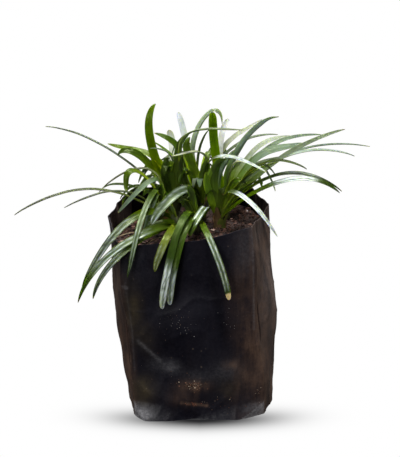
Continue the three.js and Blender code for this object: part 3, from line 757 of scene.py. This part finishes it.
def film_stain_and_highlight(place, x, y, z):
    """How brown, olive and dusty the film is at a point, with painted highlights laid into the brown and the
    dust.
    """
    stain_and_highlight = {"brown": 0.02, "olive": 0.0, "dust_and_highlight": 0.0}
    if near(place, FRONT, 0.62) > 0.16:
        for matter, marks in MARKS.items():
            for (at_x, at_z), (wide, tall), strength in marks:
                stain_and_highlight[matter] += strength * bell(x - at_x, wide) * bell(z - at_z, tall)
        for matter, start, end, wide, strength in STROKES:
            stain_and_highlight[matter] += strength * bell(stroke_gap(x, z, start, end), wide)
    # browner on the flanks, clean at the left rim and duller at the back; lighter and redder at the right
    # edge as painted highlight
    away = abs(gap(place, FRONT))
    flank = smoothstep(away, 0.44, 0.56)
    collar = smoothstep(z, 76, 90) * smoothstep(-x, 10, 30)
    # a band along the right edge, lighter and redder: painted highlight on the dusty film, laid into the
    # brown and the dust
    edge = smoothstep(x, 26, 33) * bell(z - 62, 24)
    stain_and_highlight["brown"] += 0.2 * smoothstep(x, 12, 28) + 0.6 * flank * (1 - 0.9 * collar)
    stain_and_highlight["brown"] += 0.4 * flank * smoothstep(z, 60, 20)
    stain_and_highlight["brown"] *= 1 - 0.5 * smoothstep(away, 1.3, 2.2)
    stain_and_highlight["brown"] += 1.2 * edge
    stain_and_highlight["dust_and_highlight"] += 0.2 * edge + tuck_painted_highlight(place, z)
    for strength, at, wide, heights in DUST_AND_HIGHLIGHT_BANDS:
        stain_and_highlight["dust_and_highlight"] += strength * smoothstep(z, *heights) * near(place, at, wide)
    return tuple(clamp(stain_and_highlight[matter]) for matter in ("brown", "olive", "dust_and_highlight"))


def film_ring(share, start, inset):
    """A ring of the film, where share runs from 0 at the foot, which is at height start, to 1 at the rim."""
    height = mix(start, BAG_HEIGHT, share)
    return [film_point(p, height + rim_lift(p) * share ** RIM_RISE, inset) for p in FILM_PLACES]


def make_bag(materials):
    """The film, up its outer side and down its inner side."""
    pile = Pile()
    rings = [film_ring((level / (LEVELS - 1)) ** LEVEL_BEND, 0, 0) for level in range(LEVELS)]
    tints = [FOOT_STAIN]
    for ring in rings:
        tints.extend(film_stain_and_highlight(place, *point) for place, point in zip(FILM_PLACES, ring))
    for level in range(INNER_LEVELS):
        share = 1 - (level / (INNER_LEVELS - 1)) ** INNER_BEND
        rings.append(film_ring(share, FILM_SHOWN, FILM_SHOWN))
        tints.extend([INSIDE_STAIN] * AROUND)
    tints.append(FOOT_STAIN)
    points = [(0, 0, 0)] + [point for ring in rings for point in ring] + [(0, 0, FILM_SHOWN)]
    faces = skin_faces(len(rings), AROUND)
    kinds = [0 if i % (len(rings) + 1) <= LEVELS else 1 for i in range(len(faces))]
    pile.add(points, faces, tints, None, kinds)
    pile.piece("film_bag", materials, "film", ["bag"], sharp=50)


# Crumbs

# A crumb is a ball of 20 faces, made lumpy
GOLD = (1 + math.sqrt(5)) / 2
BALL_CORNERS = [(a, b, 0) for b in (GOLD, -GOLD) for a in (-1, 1)]
BALL_POINTS = [Vector(p[3 - turn:] + p[:3 - turn]).normalized() for turn in range(3) for p in BALL_CORNERS]
BALL_FACES = [
    (0, 11, 5), (0, 5, 1), (0, 1, 7), (0, 7, 10), (0, 10, 11), (1, 5, 9), (5, 11, 4), (11, 10, 2), (10, 7, 6),
    (7, 1, 8), (3, 9, 4), (3, 4, 2), (3, 2, 6), (3, 6, 8), (3, 8, 9), (4, 9, 5), (2, 4, 11), (6, 2, 10),
    (8, 6, 7), (9, 8, 1),
]
LUMPS = 0.45


def finer_ball():
    """The ball with each face in four."""
    points = list(BALL_POINTS)
    middles = {}

    def middle(a, b):
        key = (min(a, b), max(a, b))
        if key not in middles:
            middles[key] = len(points)
            points.append((points[a] + points[b]).normalized())
        return middles[key]

    faces = []
    for a, b, c in BALL_FACES:
        ab, bc, ca = middle(a, b), middle(b, c), middle(c, a)
        faces += [(a, ab, ca), (b, bc, ab), (c, ca, bc), (ab, bc, ca)]
    return points, faces


FINE_BALL = finer_ball()


def crumb(pile, draw, centre, size, stretch, tint, fine=False):
    """One lump, turned at random, of that size and proportions."""
    points, faces = FINE_BALL if fine else (BALL_POINTS, BALL_FACES)
    turn = Matrix.Rotation(draw.uniform(0, 6.3), 3, "Z") @ Matrix.Rotation(draw.uniform(-0.5, 0.5), 3, "X")
    seed = Vector((draw.uniform(0, 90), 0, 0))
    placed = []
    for point in points:
        radius = size / 2 * (1 + LUMPS * noise.noise(point * 1.7 + seed))
        placed.append(Vector(centre) + turn @ (point * Vector(stretch) * radius))
    pile.add(placed, faces, tint)


# Dirt on the film: middle (x, z), spread, how many bits, and their size range
DIRT = [
    ((-3, 18.6), (6, 2.6), 70, (0.35, 1.0)),
    ((-4, 19.5), (3, 1.0), 14, (0.9, 1.6)),
    ((-11, 54), (8, 7), 46, (0.25, 0.6)),
    ((14, 55), (10, 9), 26, (0.2, 0.5)),
    ((-18, 24), (14, 12), 24, (0.2, 0.5)),
    ((29, 14), (3, 3), 14, (0.3, 0.8)),
    ((10, 8), (16, 5), 26, (0.25, 0.6)),
    ((-3, 8.3), (6, 0.8), 22, (0.3, 0.8)),
]
DIRT_SEED = 21
DIRT_TINTS = [
    (0.11, 0.055, 0.034),
    (0.07, 0.038, 0.025),
    (0.14, 0.09, 0.065),
    (0.17, 0.08, 0.05),
    (0.50, 0.40, 0.30),
]
GRIT_FROM = 40  # the height above which the bits are pale grit
PALE_GRIT = [(0.30, 0.29, 0.28), (0.16, 0.15, 0.145), (0.08, 0.07, 0.062), (0.12, 0.08, 0.06)]
STREAK_TALL = 1  # a lower heap than this is a slanting red streak
STREAK_SLANT = 2.2
STREAK_TINT = (0.20, 0.065, 0.035)


def make_dirt(material):
    draw = random.Random(DIRT_SEED)
    pile = Pile()
    front_places = [place for place in FILM_PLACES if place <= 1][::3]
    for (at_x, at_z), (wide, tall), count, sizes in DIRT:
        streak = tall < STREAK_TALL
        for _ in range(count):
            x = draw.gauss(at_x, wide / 2)
            z = max(0.8, draw.gauss(at_z, tall / 2))
            x += (at_z - z) * STREAK_SLANT if streak else 0
            wall = min((film_point(place, z, 0) for place in front_places), key=lambda p: abs(p[0] - x))
            size = draw.uniform(*sizes)
            tint = draw.choice(PALE_GRIT if at_z > GRIT_FROM else DIRT_TINTS)
            centre = (x, wall[1] - 0.05 * size, z)
            crumb(pile, draw, centre, size, (1, draw.uniform(0.4, 0.7), 0.8), STREAK_TINT if streak else tint)
    pile.piece("bag_dirt", [material], "soil")


# Soil


def soil_top(x, y):
    slope = -0.075 * y + 0.03 * x - 3.2 * smoothstep(-x, 14, 32)
    lumps = 0.5 * math.sin(x * 0.42 + y * 0.19) + 0.45 * math.sin(y * 0.5 - x * 0.23 + 2)
    return SOIL_HEIGHT + slope + lumps


def on_soil(x, y, above=0.0):
    """The point over (x, y) on the soil with its fine relief, or as high above it as said."""
    return x, y, soil_top(x, y) + 0.7 * rough(x, y, 3, 3.2) + 0.4 * rough(x, y, 9, 1.5) + above


SOIL_AROUND = 220
SOIL_RINGS = 62
SOIL_SIDES = 5
SOIL_INSET = FILM + SEAT
SOIL_MIDDLE = (-4, 0)
SOIL_MARGIN = 1.2
SOIL_ACROSS = (-46, 36)
SOIL_DEEP = (-36, 38)
SOIL_TINT = (0.030, 0.014, 0.010)
SOIL_PLACES = [COUNT * i / SOIL_AROUND for i in range(SOIL_AROUND)]
SOIL_EDGE = [bag_wall(place, SOIL_HEIGHT, SOIL_INSET) for place in SOIL_PLACES]


def from_soil_middle(point):
    """The direction and distance of a point from the middle of the soil."""
    x = point[0] - SOIL_MIDDLE[0]
    y = point[1] - SOIL_MIDDLE[1]
    return math.atan2(y, x), math.hypot(x, y)


SOIL_REACH = [from_soil_middle(point) for point in SOIL_EDGE]


def drawn_on_soil(draw):
    """A place drawn evenly over the soil."""
    while True:
        place = (draw.uniform(*SOIL_ACROSS), draw.uniform(*SOIL_DEEP))
        angle, away = from_soil_middle(place)
        _, limit = min(SOIL_REACH, key=lambda edge: abs(math.remainder(edge[0] - angle, math.tau)))
        if away < limit - SOIL_MARGIN:
            return place


def make_soil(material):
    """The soil bed: its side along the film, then its top in rings that close at the middle."""
    rings = []
    for level in range(SOIL_SIDES):
        ring = []
        for place, (x, y) in zip(SOIL_PLACES, SOIL_EDGE):
            z = mix(SOIL_INSET, soil_top(x, y) - 1, level / (SOIL_SIDES - 1))
            ring.append((*bag_wall(place, z, SOIL_INSET + 0.5), z))
        rings.append(ring)
    for level in range(SOIL_RINGS):
        share = 1 - level / SOIL_RINGS
        sunk = -0.8 * smoothstep(share, 0.97, 1)
        ring = []
        for x, y in SOIL_EDGE:
            ring.append(on_soil(mix(SOIL_MIDDLE[0], x, share), mix(SOIL_MIDDLE[1], y, share), sunk))
        rings.append(ring)
    points = [(0, 0, SOIL_INSET)] + [point for ring in rings for point in ring] + [on_soil(*SOIL_MIDDLE)]
    pile = Pile()
    pile.add(points, skin_faces(len(rings), SOIL_AROUND), SOIL_TINT)
    pile.piece("soil_bed", [material], "soil", ["soil"], sharp=60)


CRUMBS = 2600
CRUMB_SEED = 5
CRUMB_SIZE = (0.05, 0.42)  # the middle and spread of the size's logarithm
CRUMB_LARGEST = 3.0
CRUMB_FINE = 1.3  # a larger crumb has the finer ball
CRUMB_TINTS = [
    (0.030, 0.014, 0.010), (0.052, 0.022, 0.014), (0.021, 0.012, 0.010), (0.085, 0.038, 0.024),
    (0.045, 0.020, 0.016), (0.11, 0.052, 0.034),
]


def make_crumbs(material):
    draw = random.Random(CRUMB_SEED)
    pile = Pile()
    for _ in range(CRUMBS):
        x, y = drawn_on_soil(draw)
        size = min(draw.lognormvariate(*CRUMB_SIZE), CRUMB_LARGEST)
        stretch = (1, draw.uniform(0.6, 1), draw.uniform(0.5, 0.85))
        tint = draw.choice(CRUMB_TINTS)
        crumb(pile, draw, on_soil(x, y, 0.12 * size), size, stretch, tint, size > CRUMB_FINE)
    pile.piece("soil_crumbs", [material], "soil")


CHIPS = 130
CHIP_SEED = 11
CHIP_TINTS = [
    (0.42, 0.24, 0.19),
    (0.30, 0.16, 0.12),
    (0.16, 0.085, 0.06),
    (0.50, 0.36, 0.29),
    (0.09, 0.05, 0.035),
]
CHIP_HEAP = (-26, -24)  # most chips lie at the front left
CHIP_SPREAD = 15
# White grains: place and size
GRAINS = [(17.2, -22.5, 1.7), (-30, 18, 1.2), (6, 32, 1.3), (24, 20, 1.1)]
GRAIN_TINT = (0.75, 0.72, 0.74)
# Dry straws: both ends
STRAWS = [
    ((-42, -22, 93), (-28, -20, 95.5)),
    ((-25, -27, 92.6), (-18, -21, 93)),
    ((8, 26, 91.5), (20, 21, 91.5)),
]
STRAW_STEPS = 10
STRAW_HALF = 0.4
STRAW_THICK = Vector((0, 0, 0.12))
STRAW_BOW = Vector((0, 0, 4))
STRAW_TINT = (0.20, 0.15, 0.08)


def straw(pile, start, end):
    """A thin dry blade, bowed a little upwards."""
    side = Vector((start.y - end.y, end.x - start.x, 0)).normalized()
    points = [start]
    for i in range(STRAW_STEPS + 1):
        t = i / STRAW_STEPS
        middle = start.lerp(end, t) + STRAW_BOW * (t * (1 - t))
        half = side * (STRAW_HALF * (1 - 0.75 * abs(2 * t - 1) ** 3))
        points += [middle - half, middle - STRAW_THICK, middle + half, middle + STRAW_THICK]
    points.append(end)
    pile.add(points, skin_faces(STRAW_STEPS + 1, 4), STRAW_TINT)


def make_litter(material):
    """Bark chips, a few white grains and dry straws."""
    draw = random.Random(CHIP_SEED)
    pile = Pile()
    placed = 0
    while placed < CHIPS:
        x, y = drawn_on_soil(draw)
        heaped = bell(math.hypot(x - CHIP_HEAP[0], (y - CHIP_HEAP[1]) * 1.4), CHIP_SPREAD)
        if draw.random() > 0.1 + 0.9 * heaped:
            continue
        placed += 1
        size = draw.uniform(1.2, 3.6)
        stretch = (1, draw.uniform(0.22, 0.5), draw.uniform(0.12, 0.25))
        crumb(pile, draw, on_soil(x, y, 0.45), size, stretch, draw.choice(CHIP_TINTS), True)
    for x, y, size in GRAINS:
        crumb(pile, draw, on_soil(x, y, 0.5), size, (1, 0.9, 0.8), GRAIN_TINT, True)
    for start, end in STRAWS:
        straw(pile, Vector(start), Vector(end))
    pile.piece("soil_litter", [material], "soil")


# Where the blades grow


def from_view(across, rise, depth):
    """The point of space at a place in the measuring view."""
    sin = math.sin(VIEW_TILT)
    cos = math.cos(VIEW_TILT)
    up = rise - VIEW_CENTRE
    reach = (depth + VIEW_DISTANCE * cos) / (up * sin + VIEW_DISTANCE * cos)
    return Vector((across * reach, depth, EYE_HEIGHT + reach * (up * cos - VIEW_DISTANCE * sin)))


def crown_point(crown, height):
    x, y = CROWNS[crown]
    return Vector((x, y, soil_top(x, y) + height))


def root_point(crown, number):
    out = ROOT_SPREAD * math.sqrt((number * 0.37) % 1 + 0.05)
    return crown_point(crown, ROOT_HEIGHT) + spoke(number * GOLDEN_TURN) * out


def curve_point(knots, t):
    """The smooth curve that passes the knots at equal steps of t."""
    degree = len(knots) - 1
    point = Vector((0, 0, 0))
    for i, knot in enumerate(knots):
        weight = 1.0
        for j in range(degree + 1):
            if j != i:
                weight *= (t * degree - j) / (i - j)
        point += knot * weight
    return point


DRAW_FACTOR = 48271
DRAW_LIMIT = 2147483647
CLEAR_STEPS = 24


def seeded_random(seed):
    state = [seed]

    def draw(low, high):
        state[0] = (state[0] * DRAW_FACTOR) % DRAW_LIMIT
        return mix(low, high, state[0] / DRAW_LIMIT)

    return draw


def samples(blade):
    return [curve_point(blade["knots"], i / CLEAR_STEPS) for i in range(CLEAR_STEPS + 1)]


def is_clear(blade, others):
    """Whether a blade keeps away from the blades of other crowns."""
    mine = samples(blade)
    for other in others:
        if other["crown"] == blade["crown"]:
            continue
        if "samples" not in other:
            other["samples"] = samples(other)
        if any((p - q).length <= FILL_CLEARANCE for p in other["samples"] for q in mine):
            return False
    return True


def draw_fill(crown, limits, draw):
    heading, reach, height, hang, width, tilt = (draw(*pair) for pair in (*limits, FILL_WIDTH, FILL_TILT))
    heart = crown_point(crown, HEART_HEIGHT)
    outward = spoke(math.radians(heading)) * reach
    bend = heart + outward * 0.5 + Vector((0, 0, height))
    tip = heart + outward + Vector((0, 0, height - hang))
    return {"crown": crown, "width": width, "tilt": tilt}, [bend, tip]


def lay_out_blades():
    counts = dict.fromkeys(CROWNS, 0)
    placed = []

    def rooted(blade, goals):
        blade["knots"] = [root_point(blade["crown"], counts[blade["crown"]]), *goals]
        return blade

    def place(blade):
        counts[blade["crown"]] += 1
        placed.append(blade)

    for crown, rows in BLADES.items():
        for width, places, tone, *looks in rows:
            blade = {"crown": crown, "width": width, "tone": tone, **dict(*looks)}
            place(rooted(blade, [from_view(*p) for p in places]))
    for crown, seed, count, *limits in FILLS:
        draw = seeded_random(seed * SEED_STEP)
        for _ in range(count):
            for _ in range(FILL_TRIES):
                blade = rooted(*draw_fill(crown, limits, draw))
                if is_clear(blade, placed):
                    blade["tone"] = FILL_TONES[len(placed) % len(FILL_TONES)]
                    place(blade)
                    break
    return placed


# Blades

STATIONS = 34
HALF_ACROSS = 5  # points from the middle to one edge
OFFSETS = [math.sin(i / HALF_ACROSS * math.pi / 2) for i in range(-HALF_ACROSS, HALF_ACROSS + 1)]
UNDER_OFFSETS = OFFSETS[-2:0:-1]
BLADE_AROUND = len(OFFSETS) + len(UNDER_OFFSETS)
BLADE_THICK = 0.36
CHANNEL = 0.13
ROOT_CHANNEL = 0.3
RIB = 0.05
KEEL = 0.16
TORN_MARK = 2.0  # a blade's own number that tells its skin to tear the tip
# painted highlight: the light colour that a painted gleam's streaks are blended towards
PAINTED_GLEAM = Vector((0.66, 0.74, 0.72))
NO_PAINTED_GLEAM = (0, 1, 0, 1)
LIGHTER = (0.8, 1.25)
WARMER = (-0.12, 0.12)


def blade_width(blade, t):
    base = mix(0.62, 1, smoothstep(t, 0, 0.3))
    tip = (1 - t ** 14) ** 0.4 if blade.get("blunt") else (1 - t ** 5) ** 0.6
    return blade["width"] * base * tip


def blade_frame(blade, t, twist):
    """The middle of a blade at t, and the directions to its side and out of its upper face."""
    knots = blade["knots"]
    along = (curve_point(knots, min(t + 0.01, 1)) - curve_point(knots, max(t - 0.01, 0))).normalized()
    run = knots[-1] - knots[0]
    heading = math.radians(blade["face"]) if "face" in blade else math.atan2(run.y, run.x)
    side = spoke(heading + math.pi / 2)
    side = (side - along * side.dot(along)).normalized()
    turn = math.radians(blade.get("tilt", 0)) * math.copysign(1, run.x) + twist
    side = Matrix.Rotation(turn, 3, along) @ side
    return curve_point(knots, t), side, along.cross(side)


def blade_tints(blade, draw):
    """The colour further out and the colour near the root."""
    light = draw.uniform(*LIGHTER)
    warm = 1 + draw.uniform(*WARMER)
    return [Vector((r * light * warm, g * light, b * light / warm)) for r, g, b in TONES[blade["tone"]]]


def painted_gleam_share(blade, t, u, phase):
    """How much painted highlight the upper side has: two light streaks along the blade."""
    start, end, strength, wide = blade.get("painted_gleam", NO_PAINTED_GLEAM)
    stretch = smoothstep(t, start, start + 0.12) * (1 - smoothstep(t, end - 0.08, end))
    streak = 0.4 * wide + bell(abs(u) - 0.55, wide)
    # breaks the painted highlight streaks up unevenly
    mottle = 0.7 + 1.1 * rough(t * 36, u * 4 + phase, 0, 1.3)
    return clamp(strength * stretch * streak * max(0.1, mottle), 0, 0.9)


def add_blade(pile, blade, number):
    """One blade: a shallow channel with a keel beneath, raised ribs, and a rounded tip."""
    draw = random.Random(number * 7 + 3)
    far_tint, root_tint = blade_tints(blade, draw)
    phase = draw.uniform(0, 50)
    torn = blade.get("torn")
    own = TORN_MARK if torn else draw.random()
    cut = 0.996 if torn else 0.9985
    points = []
    grains = []
    tints = []
    for i in range(STATIONS):
        t = (1 - (1 - i / (STATIONS - 1)) ** 1.35) * cut
        twist = 0.14 * rough(t * 60, phase, 0, 12) * smoothstep(t, 0.1, 0.4)
        middle, side, upper = blade_frame(blade, t, twist)
        wave = 0.18 * rough(t * 90, phase, 7, 10) * smoothstep(t, 0.1, 0.3)
        middle += upper * wave + side * (0.16 * rough(t * 70, phase, 19, 12))
        width = blade_width(blade, t)
        depth = width * mix(ROOT_CHANNEL, CHANNEL, smoothstep(t, 0, 0.3))
        thick = BLADE_THICK * mix(1, 0.45, smoothstep(t, 0.75, 1))
        for u in OFFSETS:
            rib = RIB * math.cos(u * 9.4) * (1 - abs(u) ** 4)
            points.append(middle + side * (width / 2 * u) + upper * (depth * abs(u) ** 1.6 + rib))
        for u in UNDER_OFFSETS:
            keel = thick * (1 - 0.55 * abs(u)) + KEEL * bell(u, 0.2)
            points.append(middle + side * (width / 2 * u * 0.985) + upper * (depth * abs(u) ** 1.6 - keel))
        plain = root_tint.lerp(far_tint, smoothstep(t, 0.2, 0.6))
        # the upper side takes its painted gleam: painted highlight streaks blended into the leaf's colour
        tints += [tuple(plain.lerp(PAINTED_GLEAM, painted_gleam_share(blade, t, u, phase))) for u in OFFSETS]
        tints += [tuple(plain)] * len(UNDER_OFFSETS)
        grains += [(u, t, own) for u in OFFSETS + UNDER_OFFSETS]
    start = sum(points[:BLADE_AROUND], Vector()) / BLADE_AROUND
    points = [start] + points + [curve_point(blade["knots"], 1)]
    grains = [(0, 0, own)] + grains + [(0, 1, own)]
    tints = [tints[0]] + tints + [tints[-1]]
    faces = [tuple(reversed(face)) for face in skin_faces(STATIONS, BLADE_AROUND)]
    upper_faces = (len(OFFSETS) - 1) * (STATIONS + 1)
    kinds = [0 if i < upper_faces else 1 for i in range(len(faces))]
    pile.add(points, faces, tints, grains, kinds)


def make_tuft(crown, blades, materials):
    pile = Pile()
    for number, blade in enumerate(blades):
        if blade["crown"] == crown:
            add_blade(pile, blade, number)
    pile.piece("grass_" + crown, materials, "leaf", ["leaves_" + crown], sharp=48)


# Crowns

SHEATHS = 9
SHEATH_ROWS = 9
SHEATH_COLUMNS = 7
SHEATH_TALL = (6, 13)
SHEATH_WIDTH = (3.4, 5.2)
SHEATH_LEAN = (0.3, 2.2)
SHEATH_RAGGED = (-0.9, 0.5)
SHEATH_FOOT = -2.5
SHEATH_THICK = 0.25
SHEATH_BEND = 3.3  # the radius to which a sheath is curved
BROWN_SHEATHS = [
    (0.19, 0.080, 0.018),
    (0.13, 0.065, 0.014),
    (0.08, 0.045, 0.010),
    (0.22, 0.120, 0.030),
    (0.10, 0.12, 0.01),
]
GREEN_SHEATHS = [(0.020, 0.030, 0.004), (0.030, 0.040, 0.005), (0.045, 0.035, 0.010), (0.016, 0.024, 0.003)]
BROWN_CROWNS = ("east", "north", "west")
# The stem within the sheaths: height and radius of each ring, and the heights of its ends
STEM = ((-3, 2.6), (0, 3.1), (4, 2.9), (7, 2.3), (9, 1.2))
STEM_ENDS = (-3.2, 9.4)
STEM_AROUND = 10
STEM_TINT = (0.03, 0.04, 0.006)


def add_sheath(pile, crown, number, draw, tints):
    """A short curved strip with a ragged top."""
    tall = draw.uniform(*SHEATH_TALL)
    width = draw.uniform(*SHEATH_WIDTH)
    lean = draw.uniform(*SHEATH_LEAN)
    tint = draw.choice(tints)
    outward = spoke(number * GOLDEN_TURN)
    side = Vector((-outward.y, outward.x, 0))
    points = []
    for i in range(SHEATH_ROWS):
        t = i / (SHEATH_ROWS - 1)
        radius = 3.4 - 0.5 * smoothstep(t, 0.1, 0.6) + lean * smoothstep(t, 0.5, 1)
        half = width / 2 * (1 - 0.65 * smoothstep(t, 0.55, 1))
        ring = []
        for j in range(SHEATH_COLUMNS):
            angle = (j / (SHEATH_COLUMNS - 1) * 2 - 1) * half / SHEATH_BEND
            ragged = draw.uniform(*SHEATH_RAGGED) if i == SHEATH_ROWS - 1 else 0
            centre = crown_point(crown, mix(SHEATH_FOOT, tall, t) + ragged)
            ring.append(centre + (outward * math.cos(angle) + side * math.sin(angle)) * radius)
        points += ring + [point - outward * SHEATH_THICK for point in ring[::-1]]
    around = 2 * SHEATH_COLUMNS
    ends = [sum(points[part], Vector()) / around for part in (slice(around), slice(-around, None))]
    grains = [(j / 3 - 1, 0, 0) for j in range(SHEATH_COLUMNS)] * 2 * SHEATH_ROWS
    grains = [(0, 0, 0)] + grains + [(0, 1, 0)]
    pile.add([ends[0], *points, ends[1]], skin_faces(SHEATH_ROWS, around), tint, grains)


def make_sheaths(crown, material):
    """The collar of old sheaths round a crown, and the stem within."""
    draw = random.Random(sum(ord(c) for c in crown))
    pile = Pile()
    points = [crown_point(crown, STEM_ENDS[0])]
    for height, radius in STEM:
        for i in range(STEM_AROUND):
            points.append(crown_point(crown, height) + spoke(i / STEM_AROUND * math.tau) * radius)
    points.append(crown_point(crown, STEM_ENDS[1]))
    pile.add(points, skin_faces(len(STEM), STEM_AROUND), STEM_TINT)
    for number in range(SHEATHS):
        add_sheath(pile, crown, number, draw, BROWN_SHEATHS if crown in BROWN_CROWNS else GREEN_SHEATHS)
    pile.piece("sheaths_" + crown, [material], "sheath", ["crown_" + crown], sharp=55)


# Stage

# The soft painted shadow lies under the bag's front edge: lengths in metres
SHADE_MIDDLE = -0.0355
SHADE_BOW = 0.08
SHADE_DEEP = 0.0097
SHADE_WIDE = 0.0425
SHADE_SQUARE = 2.8
SHADE_TINT = (0.02, 0.02, 0.022)
WHITE = (1.0, 1.0, 1.0)
FLOOR_HALF = 6.0
FLOOR_DROP = -0.0002
SENSOR = 36
# Lights: name, place, target, size and power
LIGHTS = [
    ("key", (0.0, 0.25, 1.2), (0, 0, 0.08), 0.45, 24),
    ("top", (0.05, -0.4, 1.1), (0, 0, 0.1), 0.12, 7),
    ("front", (-0.4, -1.3, 0.45), (0, 0, 0.1), 0.5, 7.5),
]


def make_floor():
    """An even white ground with a painted soft shadow under the front of the bag."""
    material, nodes, shader = new_material("floor white")
    x, y, _ = nodes.split(nodes.place())
    aside = nodes.math("ABSOLUTE", x)
    middle = nodes.plus(nodes.times(aside, SHADE_BOW), SHADE_MIDDLE)
    deep = nodes.times(nodes.math("SUBTRACT", y, middle), 1 / SHADE_DEEP)
    wide = nodes.math("POWER", nodes.times(aside, 1 / SHADE_WIDE), SHADE_SQUARE)
    shade = nodes.math("EXPONENT", nodes.times(nodes.plus(nodes.times(deep, deep), wide), -1.0))
    nodes.dress(shader, {
        "Emission Color": nodes.blend(shade, WHITE, SHADE_TINT),
        "Emission Strength": 1.0,
        "Base Color": (0, 0, 0),
        "Roughness": 0.9,
        "Specular IOR Level": 0.0,
    })
    mesh = bpy.data.meshes.new("floor")
    corners = [(x * FLOOR_HALF, y * FLOOR_HALF, 0) for x, y in ((-1, -1), (1, -1), (1, 1), (-1, 1))]
    mesh.from_pydata(corners, [], [(0, 1, 2, 3)])
    mesh.materials.append(material)
    floor = show("floor", mesh)
    floor.location.z = FLOOR_DROP
    floor.visible_diffuse = False
    floor.visible_glossy = False


def make_camera():
    data = bpy.data.cameras.new("camera")
    data.sensor_fit = "VERTICAL"
    data.sensor_height = SENSOR
    data.lens = SENSOR * VIEW_DISTANCE / VIEW_TALL
    data.clip_end = 100
    camera = show("camera", data)
    camera.location = (0, -VIEW_DISTANCE * math.cos(VIEW_TILT) * MM, EYE_HEIGHT * MM)
    camera.rotation_euler = (math.pi / 2 - VIEW_TILT, 0, 0)
    bpy.context.scene.camera = camera


def make_light(name, place, target, size, power):
    data = bpy.data.lights.new(name, "AREA")
    data.shape = "DISK"
    data.size = size
    data.energy = power
    light = show(name, data)
    light.location = place
    light.rotation_euler = (Vector(target) - Vector(place)).to_track_quat("-Z", "Y").to_euler()


def make_world():
    """A studio that is bright behind the plant and overhead, and dim in front."""
    world = bpy.data.worlds.new("studio")
    world.use_nodes = True
    nodes = Nodes(world.node_tree)
    _, y, z = nodes.split(nodes.make("TexCoord", {}).outputs["Generated"])
    back = nodes.ramp(y, -0.3, 0.75, 0.3, 0.8)
    above = nodes.ramp(z, -0.12, 0.12, 0.08, 0.9)
    nodes.dress(world.node_tree.nodes["Background"], {"Strength": nodes.times(back, above), "Color": WHITE})
    bpy.context.scene.world = world


make_camera()
make_world()
make_floor()
for light in LIGHTS:
    make_light(*light)
bpy.context.scene.view_settings.view_transform = "Standard"

# the film's inner side is a darker copy of the film: painted shade
film = [film_material("film black", 1.0), film_material("film inside", 0.2)]
earth = earth_material("soil brown", 0.6)
litter = earth_material("bark and grit", 0.5)
sheath = sheath_material()
leaf = [
    leaf_material("leaf upper", (0.16, 0.28), 0.24, 0.0),
    leaf_material("leaf under", (0.4, 0.52), 0.1, 0.15),
]

make_bag(film)
make_dirt(litter)
make_soil(earth)
make_crumbs(earth)
make_litter(litter)
all_blades = lay_out_blades()
for crown_name in CROWNS:
    make_sheaths(crown_name, sheath)
    make_tuft(crown_name, all_blades, leaf)
